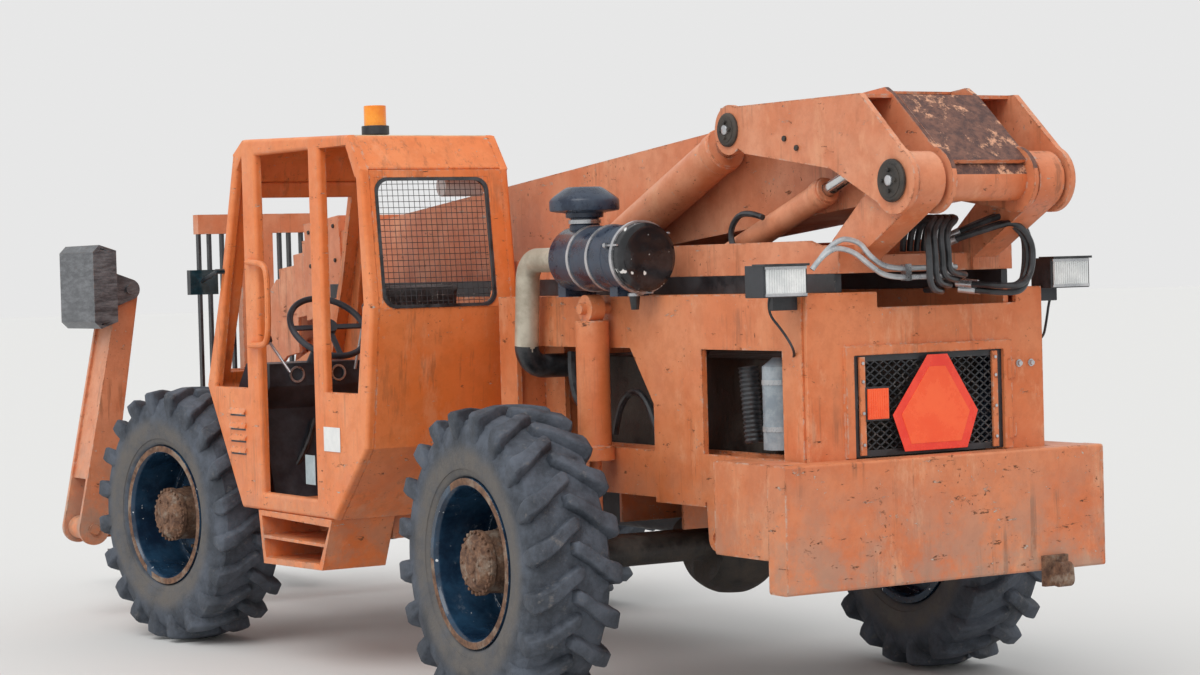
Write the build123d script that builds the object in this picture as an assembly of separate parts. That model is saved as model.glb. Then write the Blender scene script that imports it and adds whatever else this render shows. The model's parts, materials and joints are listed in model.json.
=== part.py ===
from build123d import *
from math import cos, hypot, radians, sin
import os

# Rough-terrain forklift truck with a telescopic boom, millimetres.
# The drawing frame has X forward from the rear axle, Y to the left and Z up from the ground.
# The written frame has its origin on the ground, under the middle of the whole length.

# Wheels and axles
wheelbase = 3250
tyre_radius = 636
tyre_width = 396
tyre_side_width = 300
rim_seat_radius = 318
rim_flange_radius = 348
rim_wall = 14
track_half = 1098
kingpin_y = 930
hub_radius = 122
hub_outer_y = 1262
disc_y = 1010
disc_thick = 18
spindle_radius = 52
yoke_gap = 164
axle_pivot_rise = 130
axle_pivot_radius = 26
trunnion_x = 232
running_gap = 0.05
front_steer_rest = 8
rear_steer_rest = -2

# Chassis
frame_plate_y = 408
frame_plate = 24
frame_rear_x = -1370
frame_front_x = 4410
frame_top_z = 1700
rail_height = 72
rail_width = 40
wide_frame_y = 568
wide_frame_plate = 24
wide_frame_front_x = 930
beam_low_z = 1485
side_rail_low_z = 800
side_rail_top_z = 1070

# Counterweight and rear panel
weight_width = 1540
weight_low_z = 590
weight_height = 479
weight_rear_x = -1510
panel_half = 573
panel_top_z = 1700
panel_low_z = 900
panel_thick = 22
grille_half = 363
grille_top_z = 1460
notch_depth = 60

# Cab
cab_left_y = 1180
cab_right_y = 438
cab_wall = 40
door_front_x = 2180
door_rear_x = 1600
floor_z = 715
sill_z = 800
belt_z = 1290
head_z = 2390
wheel_x = 2170
wheel_y = 820
wheel_z = 1570
wheel_lean = 46
cab_mount_x = (1490, 2290)
cab_mount_y = 850

# Boom, measured from the pivot pin along and square to the boom
pivot_x = -1700
pivot_z = 2110
boom_droop = 5.2
outer_half = 205
outer_wall = 10
outer_low = -40
outer_top = 387
outer_front = 5420
mid_half = 178
mid_wall = 8
mid_low = -12
mid_top = 332
mid_rear = 760
mid_front = 5600
inner_half = 150
inner_wall = 8
inner_low = 16
inner_top = 280
inner_rear = 980
inner_front = 5850
slide_gap = 0.3
tail_plate_y = 372
tail_plate = 24
tail_radius = 125
pivot_pin_radius = 45

# Boom carriage
carriage_rear_x = -1400
carriage_front_x = 1120
carriage_plate_y = 408
carriage_plate = 24
carriage_top_z = 1900
arm_in_y = 225
arm_out_y = 345

# Lift cylinders: pins in the drawing frame
lift_y = 300
lift_base_x = 940
lift_base_z = 1668
lift_pin_x = -633
lift_pin_z = 2355
lift_barrel_radius = 86
lift_rod_radius = 46
lift_barrel_length = 1480
lift_eye_half = 48

# Levelling cylinders
level_y = 284
level_base_x = -400
level_base_z = 1830
level_pin_x = -1370
level_pin_z = 2170
level_barrel_radius = 50
level_rod_radius = 28
level_barrel_length = 760

# Thickness of a barrel's closed end, and how far a rod stands off it at rest
barrel_cap = 15
rod_stand_off = 5

# Fork head
head_pin_x = 4600
head_pin_z = 600
goose_half = 145
goose_plate = 20
tilt_base_x = 4010
tilt_base_z = 1440
tilt_pin_x = 4620
tilt_pin_z = 960
tilt_barrel_radius = 52
tilt_rod_radius = 28
tilt_barrel_length = 605
tilt_stand_off = 75
fork_length = 1200
fork_width = 150
fork_thick = 60
fork_y = 350
fork_top_z = 190
shank_front_x = 4940
fork_back_x = 4760
backrest_top_z = 2180
backrest_half = 360
bar_depth = 40
bar_gap = 6
carrier_half = 600

# Outriggers
outrigger_x = 4400
outrigger_half = 130
outrigger_plate = 26
outrigger_pin_y = 1222
outrigger_pin_z = 490
foot_pin_y = 988
foot_pin_z = 1770
foot_depth = 241
foot_half = 250
stay_base_y = 262
stay_x = 4366
stay_base_z = 700
stay_pin_y = 1011
stay_pin_z = 756
stay_barrel_radius = 50
stay_rod_radius = 25
stay_barrel_length = 645

fork_tip_x = shank_front_x + fork_length
tail_end_x = pivot_x - tail_radius
mid_x = (fork_tip_x + tail_end_x) / 2


def save(name, shape):
    """Writes one sub-part, moved from the drawing frame to the written frame."""
    solids = [Pos(-mid_x, 0, 0) * solid for solid in shape.solids()]
    export_step(solids[0] if len(solids) == 1 else Compound(children=solids), f"parts/{name}.step")


def block(x0, x1, y0, y1, z0, z1):
    middle = Pos((x0 + x1) / 2, (y0 + y1) / 2, (z0 + z1) / 2)
    return middle * Box(x1 - x0, y1 - y0, z1 - z0)


def rod_between(start, end, radius):
    """A round bar from one point to another."""
    start = Vector(*start)
    end = Vector(*end)
    way = end - start
    place = Plane(origin=start, z_dir=way)
    return place * Cylinder(radius, way.length, align=(Align.CENTER, Align.CENTER, Align.MIN))


def cross_bar(x, z, radius, y0, y1):
    """A round bar across the machine."""
    return rod_between((x, y0, z), (x, y1, z), radius)


def side_plate(points, y0, y1):
    """A plate whose outline is given as X and Z pairs, between two Y values."""
    outline = make_face(Polyline(*[(x, y0, z) for x, z in points], close=True))
    return extrude(outline, amount=y1 - y0, dir=(0, 1, 0))


def end_plate(points, x0, x1):
    """A plate whose outline is given as Y and Z pairs, between two X values."""
    outline = make_face(Polyline(*[(x0, y, z) for y, z in points], close=True))
    return extrude(outline, amount=x1 - x0, dir=(1, 0, 0))


def link(ends, y0, y1):
    """A plate with round ends: a table of X, Z and radius, wrapped by one outline."""
    rings = [Pos(x, z) * Circle(r) for x, z, r in ends]
    outline = make_hull([edge for ring in rings for edge in ring.edges()])
    place = Plane(origin=(0, y0, 0), x_dir=(1, 0, 0), z_dir=(0, -1, 0))
    return extrude(place * outline, amount=y1 - y0, dir=(0, 1, 0))


def cross_link(ends, x0, x1):
    """The same, lying across the machine: a table of Y, Z and radius."""
    rings = [Pos(y, z) * Circle(r) for y, z, r in ends]
    outline = make_hull([edge for ring in rings for edge in ring.edges()])
    place = Plane(origin=(x0, 0, 0), x_dir=(0, 1, 0), z_dir=(1, 0, 0))
    return extrude(place * outline, amount=x1 - x0, dir=(1, 0, 0))


def both_sides(shape):
    """The shape and its copy mirrored to the other side of the machine."""
    return Compound(children=[*shape.solids(), *mirror(shape, about=Plane.XZ).solids()])


def fuse_sides(shape):
    return shape + mirror(shape, about=Plane.XZ)


def on_boom(shape):
    """Takes a shape drawn along X from the pivot and lays it along the boom."""
    return Pos(pivot_x, 0, pivot_z) * Rot(0, boom_droop, 0) * shape


def steered(shape, axle_x, side, angle):
    """Turns a wheel's piece about its kingpin."""
    pin = Axis((axle_x, side * kingpin_y, 0), (0, 0, 1))
    return shape.rotate(pin, angle)


# Wheels

def tyre_profile():
    half = tyre_width / 2
    side = tyre_side_width / 2
    shoulder = tyre_radius - 95
    seat = rim_seat_radius
    right = [(side, seat), (side, seat + 34), (half, seat + 130), (half, shoulder), (half - 32, tyre_radius)]
    return right + [(-y, r) for y, r in reversed(right)]


def wheel_turn(points, axle_x, side):
    """A ring turned about the wheel's axle from a table of offset outwards and radius."""
    centre = Vector(axle_x, 0, tyre_radius)
    flat = [(axle_x, side * y, tyre_radius + r) for y, r in points]
    face = make_face(Polyline(*flat, close=True))
    return revolve(face, Axis(centre, (0, 1, 0)), 360)


def tyre(axle_x, side):
    return wheel_turn([(track_half + y, r) for y, r in tyre_profile()], axle_x, side)


def rim(axle_x, side):
    """Dished rim with its disc set deep and the hub standing out of it."""
    half = tyre_side_width / 2
    flange = half + 24
    seat = rim_seat_radius - running_gap
    inner = seat - rim_wall
    shell = wheel_turn([
        (track_half - flange, rim_flange_radius), (track_half - half, rim_flange_radius),
        (track_half - half, seat), (track_half + half, seat),
        (track_half + half, rim_flange_radius), (track_half + flange, rim_flange_radius),
        (track_half + flange, inner + 14), (track_half + half, inner),
        (track_half - half, inner), (track_half - flange, inner + 14)], axle_x, side)
    disc = wheel_turn([
        (disc_y, spindle_radius + running_gap), (disc_y, inner + 4),
        (disc_y + disc_thick, inner + 4), (disc_y + disc_thick, hub_radius + 40),
        (disc_y + 46, hub_radius + 14), (hub_outer_y - 30, hub_radius),
        (hub_outer_y, hub_radius - 26), (hub_outer_y, 0),
        (hub_outer_y - 60, 0), (hub_outer_y - 60, spindle_radius + running_gap)], axle_x, side)
    return shell + disc


def knuckle(axle_x, side):
    """Swivel housing with a spindle for the wheel."""
    z = tyre_radius
    drum = rod_between((axle_x, side * (kingpin_y - 70), z), (axle_x, side * (kingpin_y + 66), z), 135)
    spindle = rod_between((axle_x, side * (kingpin_y + 60), z), (axle_x, side * (hub_outer_y - 62), z),
                          spindle_radius)
    reach = yoke_gap - slide_gap
    post = rod_between((axle_x, side * kingpin_y, z - reach), (axle_x, side * kingpin_y, z + reach), 42)
    arm_end = axle_x - 250 if axle_x > 0 else axle_x + 250
    arm = block(min(axle_x, arm_end), max(axle_x, arm_end), -28, 28, z - 90, z - 60)
    arm = Pos(0, side * (kingpin_y - 40), 0) * arm
    return drum + spindle + post + arm


def axle(axle_x):
    """Drive axle: beam, differential housing and a forked yoke for each knuckle."""
    z = tyre_radius
    beam = link([(axle_x - 60, z, 62), (axle_x + 60, z, 62)], -740, 740)
    bowl = Pos(axle_x, 0, z) * Sphere(225)
    bowl = bowl & block(axle_x - 212, axle_x + 212, -150, 150, z - 215, z + 224)
    nose = rod_between((axle_x, 0, z), (axle_x + (330 if axle_x < 1000 else -330), 0, z), 85)
    pivot = rod_between((axle_x - trunnion_x - 26, 0, z + axle_pivot_rise),
                        (axle_x + trunnion_x + 26, 0, z + axle_pivot_rise), axle_pivot_radius)
    solid = beam + bowl + nose + pivot
    for side in (1, -1):
        y0 = side * 720
        y1 = side * (kingpin_y + 44)
        top = block(axle_x - 44, axle_x + 44, min(y0, y1), max(y0, y1), z + yoke_gap, z + yoke_gap + 40)
        low = block(axle_x - 44, axle_x + 44, min(y0, y1), max(y0, y1), z - yoke_gap - 40, z - yoke_gap)
        back = block(axle_x - 80, axle_x + 80, min(y0, y0 + side * 46), max(y0, y0 + side * 46),
                     z - 204, z + 204)
        solid = solid + top + low + back
    return solid


# Chassis

def frame_side():
    """One deep inner frame plate with the engine bay window, drawn as X and Z pairs."""
    outer = side_plate([
        (frame_rear_x, side_rail_low_z), (-1000, side_rail_low_z), (-760, 880), (700, 880),
        (900, 760), (4060, 760), (4240, 460), (frame_front_x, 460), (frame_front_x, 600),
        (4230, 606), (4000, 1180), (3000, 1500), (2960, frame_top_z), (frame_rear_x, frame_top_z)],
        frame_plate_y - frame_plate / 2, frame_plate_y + frame_plate / 2)
    window = block(-1290, 640, 0, 1000, side_rail_top_z, beam_low_z)
    arch = cross_bar(wheelbase, tyre_radius, 250, 0, 1000)
    return outer - window - arch


def wide_side():
    """The outer frame plate of the engine bay: top beam, post and lower rail."""
    y0 = wide_frame_y - wide_frame_plate / 2
    y1 = wide_frame_y + wide_frame_plate / 2
    beam = block(frame_rear_x, wide_frame_front_x, y0, y1, beam_low_z, frame_top_z)
    post = side_plate([
        (-690, side_rail_low_z + 60), (-690, frame_top_z), (-160, frame_top_z),
        (-160, beam_low_z), (-330, 1260), (-330, side_rail_low_z + 60)], y0, y1)
    rail = block(-1310, wide_frame_front_x, y0, y1, side_rail_low_z + 80, side_rail_top_z)
    front_post = block(wide_frame_front_x - 150, wide_frame_front_x, y0, y1, side_rail_low_z + 80,
                       frame_top_z)
    rear_post = block(frame_rear_x, -1240, y0, y1, side_rail_low_z + 80, frame_top_z)
    lug = link([(-760, 740, 50), (-760, 900, 60)], y0, y1) - cross_bar(-760, 740, 22, y0, y1)
    return beam + post + rail + front_post + rear_post + lug


def outrigger_mount(side):
    """Beam out to one outrigger, with its boss and pin."""
    mid, far = side * (outrigger_pin_y - 102), side * (outrigger_pin_y - 40)
    near = side * frame_plate_y
    bar = block(frame_front_x - 140, frame_front_x, min(near, mid), max(near, mid), 440, 560)
    bar += block(frame_front_x - 100, frame_front_x, min(near, far), max(near, far), 440, 560)
    boss = rod_between((outrigger_x - 98, side * outrigger_pin_y, outrigger_pin_z),
                       (outrigger_x + 98, side * outrigger_pin_y, outrigger_pin_z), 62)
    pin = rod_between((outrigger_x - 142, side * outrigger_pin_y, outrigger_pin_z),
                      (outrigger_x + 142, side * outrigger_pin_y, outrigger_pin_z), 30)
    return bar + boss + pin


def frame_half():
    """The left inner and outer plates with what joins them, out to the outrigger's pin."""
    solid = frame_side() + wide_side() + outrigger_mount(1)
    for x0, x1, z0, z1 in ((-1370, -1290, 880, 1060), (-640, -560, 900, 1060),
                           (wide_frame_front_x - 120, wide_frame_front_x, 900, 1690)):
        solid += block(x0, x1, frame_plate_y, wide_frame_y, z0, z1)
    solid += block(-1290, wide_frame_front_x, frame_plate_y, wide_frame_y, frame_top_z - 12, frame_top_z)
    return solid


def frame_left():
    """The left half, with the brackets that carry the cab."""
    solid = frame_half()
    for x0 in cab_mount_x:
        solid += block(x0, x0 + 80, frame_plate_y, cab_mount_y, floor_z - 110, floor_z - slide_gap)
        solid += block(x0, x0 + 80, frame_plate_y - 12, frame_plate_y + 12, floor_z - 110, 800)
    return solid


def frame_members():
    """What crosses the machine between the inner plates, with the carriers of the axles' pivots."""
    inner = frame_plate_y - frame_plate / 2
    pieces = []
    for x0, x1, z0, z1 in ((-1000, -860, 880, 1000), (660, 800, 900, 1500), (2500, 2620, 780, 1300),
                           (3880, 4000, 780, 1150)):
        pieces += block(x0, x1, -inner, inner, z0, z1).solids()
    front = block(frame_front_x - 140, frame_front_x, -inner, inner, 460, 600)
    for side in (1, -1):
        lug = block(stay_x - 56, stay_x + 44, side * stay_base_y - 40,
                    side * stay_base_y + 40, 590, stay_base_z + 34)
        slot = block(stay_x - 37, stay_x + 37, side * stay_base_y - 60,
                     side * stay_base_y + 60, stay_base_z - 64, stay_base_z + 40)
        stay_pin = rod_between((stay_x - 56, side * stay_base_y, stay_base_z),
                               (stay_x + 44, side * stay_base_y, stay_base_z), 18)
        front += (lug - slot) + stay_pin
    pieces += front.solids()
    for axle_x in (0, wheelbase):
        z = tyre_radius
        carrier = block(axle_x - trunnion_x - 18, axle_x + trunnion_x + 18, -inner, inner, z + 232, z + 262)
        for x0 in (axle_x - trunnion_x - 18, axle_x + trunnion_x):
            trunnion = block(x0, x0 + 18, -inner, inner, z + 92, z + 240)
            carrier += trunnion - rod_between((x0 - 9, 0, z + axle_pivot_rise),
                                              (x0 + 27, 0, z + axle_pivot_rise),
                                              axle_pivot_radius + slide_gap)
        pieces += carrier.solids()
    return Compound(children=pieces)


def carriage_rails():
    """The two dark rails that the boom carriage slides on."""
    y0 = frame_plate_y - rail_width / 2
    y1 = frame_plate_y + frame_plate / 2
    rail = block(frame_rear_x, 2960, y0, y1, frame_top_z, frame_top_z + rail_height)
    return both_sides(rail)


def counterweight():
    x0 = weight_rear_x
    x1 = frame_rear_x - panel_thick
    half = weight_width / 2
    body = block(x0, x1, -half, half, weight_low_z, weight_low_z + weight_height)
    cheeks = fuse_sides(block(x1 - 1, -1010, panel_half + 24, half - 20, weight_low_z + 120,
                              weight_low_z + weight_height))
    return fillet((body + cheeks).edges().filter_by(Axis.Y), 12)


def rear_panel():
    x0 = frame_rear_x - panel_thick
    x1 = frame_rear_x
    panel = block(x0, x1, -panel_half, panel_half, panel_low_z, panel_top_z)
    window = block(x0 - 9, x1 + 9, -grille_half, grille_half, 1000, grille_top_z)
    notch = block(x0 - 9, x1 + 9, -441, 238, panel_top_z - notch_depth, panel_top_z + 9)
    frame = block(x0 - 14, x0, -grille_half - 40, grille_half + 40, 1070, grille_top_z + 36)
    frame -= block(x0 - 19, x0 + 9, -grille_half, grille_half, 1000, grille_top_z)
    return panel - window - notch + frame


def rear_grille():
    """Crossed bars over the radiator."""
    x0 = frame_rear_x - panel_thick
    bars = None
    pitch = 66
    count = int((2 * grille_half) // pitch)
    for i in range(count + 1):
        y = -grille_half + 8 + i * (2 * grille_half - 16) / count
        bar = block(x0 + 4, x0 + 10, y - 4, y + 4, 1074, grille_top_z)
        bars = bar if bars is None else bars + bar
    for z in (1078, 1174, 1270, 1366, grille_top_z - 4):
        bars += block(x0 + 4, x0 + 10, -grille_half, grille_half, z - 4, z + 4)
    return bars


def engine_block():
    return block(-840, 620, -340, 340, 905, 1440)


def radiator():
    half = frame_plate_y - frame_plate / 2 - slide_gap
    return block(-1240, -1120, -half, half, 930, 1470)


def axle_cylinders():
    """Upright cylinders that level the chassis on the rear axle."""
    y = wide_frame_y + wide_frame_plate / 2 + 83
    z = tyre_radius
    barrel = rod_between((0, y, 1050), (0, y, 1600), 70)
    collar = rod_between((0, y, 1020), (0, y, 1080), 82)
    rod = rod_between((0, y, z + 62), (0, y, 1030), 26)
    eye = cross_bar(0, 1650, 58, y - 34, y + 34)
    pin = cross_bar(0, 1650, 24, wide_frame_y + wide_frame_plate / 2, y + 62)
    foot = rod_between((0, y, z + 62), (0, y, z + 110), 50)
    return both_sides(barrel + collar + rod + eye + pin + foot)


# Cab

cab_side = [
    (1182, 2434), (2300, 2472), (2423, 2404), (2612, 1790), (2806, 1295), (2426, floor_z),
    (1426, floor_z), (1086, 1048), (994, 1670), (1061, 2274)]


def cab_shell():
    """The whole cab's outline less its inside, between the two side walls."""
    outer = side_plate(cab_side, cab_right_y + cab_wall, cab_left_y - cab_wall)
    face = make_face(Polyline(*[(x, 0, z) for x, z in cab_side], close=True))
    inset = offset(face, amount=-cab_wall, kind=Kind.INTERSECTION)
    hollow = extrude(inset.moved(Location((0, cab_right_y, 0))), amount=cab_left_y - cab_right_y,
                     dir=(0, 1, 0))
    return outer - hollow


def cab_wall_plate(y0, y1):
    """A side wall's blank."""
    return side_plate(cab_side, y0, y1)


def cab_left():
    y0 = cab_left_y - cab_wall
    blank = cab_wall_plate(y0, cab_left_y)
    quarter = side_plate([(2330, belt_z), (2700, belt_z), (2555, 1780), (2385, head_z - 60),
                          (2330, head_z)], y0 - 9, cab_left_y + 9)
    door = block(door_rear_x, door_front_x, y0 - 9, cab_left_y + 9, sill_z, head_z)
    rear = side_plate([(1150, belt_z), (1482, belt_z), (1482, head_z), (1210, head_z),
                       (1120, 2240), (1080, 1680)], y0 - 9, cab_left_y + 9)
    return blank - quarter - door - rear


def cab_right():
    y0 = cab_right_y
    blank = cab_wall_plate(y0, y0 + cab_wall)
    window = side_plate([(1110, 1560), (2560, 1560), (2370, head_z - 40), (2300, head_z),
                         (1210, head_z), (1120, 2240)], y0 - 9, y0 + cab_wall + 9)
    return blank - window


def cab_rear(shell):
    zone = block(900, 1430, 0, 1300, 700, 2274) - block(1140, 1500, 0, 1300, 1300, 2300)
    wall = shell & zone
    window = block(900, 1100, 550, 1120, 1664, 2240)
    return wall - window


def cab_roof(shell):
    return shell & block(900, 2600, 0, 1300, 2274, 2600)


def cab_front(shell):
    wall = shell & block(2427, 2900, 0, 1300, 700, 2274)
    window = block(2400, 2900, 540, 1080, 1360, 2200)
    return wall - window


def cab_floor(shell):
    """Floor with the boarding step hung under the door."""
    floor = shell & block(1430, 2427, 0, 1300, 700, 790)
    step = side_plate([(1450, floor_z), (2240, floor_z), (2196, 464), (1560, 478)], 860, cab_left_y)
    inside = side_plate([(1480, 680), (2205, 690), (2170, 494), (1590, 506)], 890, cab_left_y + 9)
    tread = block(1522, 2206, 870, cab_left_y, 585, 600)
    return floor + (step - inside) + tread


def seat():
    cushion = fillet(block(1330, 1800, 590, 1050, 1160, 1270).edges(), 30)
    back = Pos(1345, 820, 1225) * Rot(0, -8, 0) * Box(110, 440, 560,
                                                      align=(Align.CENTER, Align.CENTER, Align.MIN))
    back = fillet(back.edges(), 30)
    base = block(1500, 1760, 650, 990, floor_z + cab_wall, 1165)
    return cushion + back + base


def dash_console():
    low = floor_z + cab_wall
    body = side_plate([(2300, low), (2385, low), (2600, 1085), (2715, 1262), (2600, 1400),
                       (2330, 1400), (2330, 1290), (2430, 1180)], 560, 1060)
    reach = Vector(sin(radians(wheel_lean)), 0, -cos(radians(wheel_lean)))
    centre = Vector(wheel_x, wheel_y, wheel_z)
    column = rod_between(centre + reach * 320, centre + reach * 17.3, 32)
    return body + column


def steering_wheel():
    place = Pos(wheel_x, wheel_y, wheel_z) * Rot(0, -wheel_lean, 0)
    ring = place * Torus(190, 15)
    hub = place * Cylinder(42, 34)
    spokes = place * Box(380, 26, 10) + place * Box(26, 380, 10)
    return ring + hub + spokes


# Fittings

def air_cleaner():
    x0 = -420
    x1 = 230
    y = 660
    z = 1857
    body = rod_between((x0, y, z), (x1, y, z), 132)
    cap = rod_between((x0 - 24, y, z), (x0, y, z), 140)
    neck = rod_between((x1 - 130, y, z), (x1 - 130, y, 2080), 62)
    bowl = rod_between((x1 - 130, y, 2050), (x1 - 130, y, 2150), 118)
    feet = block(x0 + 120, x0 + 180, y - 90, y + 60, frame_top_z, z - 100)
    feet += block(x1 - 120, x1 - 60, y - 90, y + 60, frame_top_z, z - 100)
    return body + cap + neck + bowl + feet


def intake_pipe():
    """Pale pipe from the air cleaner forwards and down to the engine bay."""
    y = 660
    path = FilletPolyline((230, y, 1857), (520, y, 1857), (560, y, 1400), (560, 340.3, 1400), radius=90)
    ring = Plane(origin=path @ 0, z_dir=path % 0) * Circle(52)
    return sweep(ring, path=path)


def lamps():
    """Two rear work lamps and the roof beacon."""
    pieces = []
    for side in (1, -1):
        y = side * 690
        lamp = block(frame_rear_x - 60, frame_rear_x + 60, y - 100, y + 100, 1690, 1810)
        bracket = block(frame_rear_x + 20, frame_rear_x + 50, min(side * 580, y), max(side * 580, y),
                        1640, 1700)
        pieces += (lamp + bracket).solids()
    base_z = 2440.5
    beacon = Pos(1300, 980, base_z) * Cylinder(62, 40, align=(Align.CENTER, Align.CENTER, Align.MIN))
    beacon += Pos(1300, 980, base_z) * Cylinder(50, 130, align=(Align.CENTER, Align.CENTER, Align.MIN))
    pieces += beacon.solids()
    return Compound(children=pieces)


def mirror_head():
    stem = cross_bar(2560, 1850, 12, cab_left_y, cab_left_y + 44)
    stem += rod_between((2560, cab_left_y + 36, 1850), (2720, 1236, 1800), 10)
    return stem + block(2700, 2740, 1150, 1296, 1740, 1860)


def pintle_hitch():
    x = weight_rear_x
    plate = block(x - 22, x, -560, -440, weight_low_z - 60, weight_low_z + 60)
    jaw = link([(x - 20, 560, 24), (x - 62, 560, 30), (x - 62, 600, 26)], -530, -470)
    return plate + jaw


def fuel_tank():
    """Tank slung on the right side between the wheels."""
    tank = block(1000, 2360, -1060, -frame_plate_y - frame_plate / 2, 560, 1200)
    tank = fillet(tank.edges().filter_by(Axis.X), 60)
    cap = Pos(1250, -820, 1190) * Cylinder(55, 60, align=(Align.CENTER, Align.CENTER, Align.MIN))
    inside = block(1006, 2354, -1054, -frame_plate_y - frame_plate / 2 - 6, 566, 1194)
    inside = fillet(inside.edges().filter_by(Axis.X), 54)
    return tank - inside + cap


# Boom

def boom_tube(u0, u1, half, low, top, wall):
    outer = block(u0, u1, -half, half, low, top)
    return outer - block(u0 - 9, u1 + 9, -half + wall, half - wall, low + wall, top - wall)


def tail_outline():
    """Outer tail plate: X and Z from the pivot, at rest."""
    return [(0, -tail_radius), (389, 61), (958, 145), (1160, 250), (1121, 336), (195, 334),
            (-110, 60)]


def boom_carriage():
    """Sliding base of the boom: arms up to the pivot, side plates and cross members."""
    y0 = carriage_plate_y - carriage_plate / 2
    y1 = carriage_plate_y + carriage_plate / 2
    slide_z = frame_top_z + rail_height + slide_gap
    arm = link([(pivot_x, pivot_z, 108), (-1310, 1850, 70)], arm_in_y, arm_out_y)
    arm -= cross_bar(pivot_x, pivot_z, pivot_pin_radius + running_gap, 0, 900)
    foot = block(-1400, -1170, arm_in_y, y1, slide_z, 1880)
    plate = side_plate([(carriage_rear_x, slide_z), (carriage_front_x, slide_z),
                        (carriage_front_x, 1840), (carriage_front_x - 240, carriage_top_z), (-1200, carriage_top_z),
                        (carriage_rear_x, 1840)], y0, y1)
    bridge = block(-1380, -1240, -y0, y0, slide_z, 1840)
    side = arm + foot + plate
    solid = fuse_sides(side) + bridge
    level_pin = cross_bar(level_base_x, level_base_z, 26, -y0 - 5, y0 + 5)
    beam_x = carriage_front_x - 90
    box = block(beam_x, carriage_front_x, -380, 380, 1600, 1760)
    gusset = block(beam_x, carriage_front_x, 346, y1, slide_z + 4, 1840)
    gusset += block(beam_x, carriage_front_x, 346, 380, 1700, slide_z + 10)
    lug = link([(lift_base_x, lift_base_z, 58), (beam_x + 30, 1668, 58)], 356, 380)
    lug += link([(lift_base_x, lift_base_z, 58), (beam_x + 30, 1668, 58)], 218, 242)
    lift_pin = cross_bar(lift_base_x, lift_base_z, 34, 218, 380)
    return solid + level_pin + box + fuse_sides(gusset + lug + lift_pin)


def boom_outer():
    tube = boom_tube(330, outer_front, outer_half, outer_low, outer_top, outer_wall)
    y0 = outer_half - 20
    cheek = side_plate([(-80, 0), (0, -tail_radius + 4), (330, outer_low), (600, outer_low),
                        (600, outer_top), (240, outer_top), (190, 350), (-86, 60)], y0, outer_half)
    cheek += cross_bar(0, 0, tail_radius, y0, outer_half)
    tube += fuse_sides(cheek)
    slope = side_plate([(190, 352), (205, 340), (-70, 52), (-84, 64)], -y0, y0)
    tube += slope
    solid = on_boom(tube)
    p0 = tail_plate_y - tail_plate / 2
    p1 = tail_plate_y + tail_plate / 2
    outline = [(pivot_x + x, pivot_z + z) for x, z in tail_outline()]
    plate = side_plate(outline, p0, p1) + cross_bar(pivot_x, pivot_z, tail_radius, p0, p1)
    plate += cross_bar(pivot_x + 1067, pivot_z + 245, 100, p0, p1)
    cap = cross_bar(pivot_x, pivot_z, 62, p1, p1 + 22)
    cap += cross_bar(lift_pin_x, lift_pin_z, 50, p1, p1 + 18)
    top = block(pivot_x + 230, pivot_x + 800, outer_half - 5, p0 + 4, pivot_z + 320, pivot_z + 334)
    solid += fuse_sides(plate + cap + top)
    solid += cross_bar(pivot_x, pivot_z, pivot_pin_radius, -p0, p0)
    solid += cross_bar(pivot_x, pivot_z, 80, -outer_half, outer_half)
    pads = block(outer_front - 160, outer_front - 10, -120, 120, outer_low + outer_wall - 1,
                 mid_low - slide_gap)
    pads += block(outer_front - 160, outer_front - 10, -120, 120, mid_top + slide_gap,
                  outer_top - outer_wall + 1)
    pads += fuse_sides(block(outer_front - 160, outer_front - 10, mid_half + slide_gap,
                             outer_half - outer_wall + 1, 20, 300))
    return solid + on_boom(pads)


def boom_mid():
    tube = boom_tube(mid_rear, mid_front, mid_half, mid_low, mid_top, mid_wall)
    pads = block(mid_front - 160, mid_front - 10, -100, 100, mid_low + mid_wall - 1,
                 inner_low - slide_gap)
    pads += block(mid_front - 160, mid_front - 10, -100, 100, inner_top + slide_gap,
                  mid_top - mid_wall + 1)
    pads += fuse_sides(block(mid_front - 160, mid_front - 10, inner_half + slide_gap,
                             mid_half - mid_wall + 1, 60, 240))
    return on_boom(tube + pads)


def boom_inner():
    tube = boom_tube(inner_rear, inner_front, inner_half, inner_low, inner_top, inner_wall)
    solid = on_boom(tube)
    g0 = goose_half - goose_plate
    goose = side_plate([(3930, 1600), (3930, 1400), (4090, 1380), (4420, 1180), (4500, 600),
                        (4700, 600), (4596, 1250), (4440, 1640), (4200, 1800), (3930, 1838)],
                       g0, goose_half)
    goose += cross_bar(head_pin_x, head_pin_z, 100, g0, goose_half)
    solid += fuse_sides(goose)
    solid += side_plate([(4110, 1800), (4200, 1800), (4440, 1640), (4430, 1620), (4195, 1782),
                         (4110, 1782)], -g0, g0)
    solid += cross_bar(tilt_base_x, tilt_base_z, 24, -g0 - 4, g0 + 4)
    bore = cross_bar(head_pin_x, head_pin_z, 38 + running_gap, -900, 900)
    return solid - bore


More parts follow.
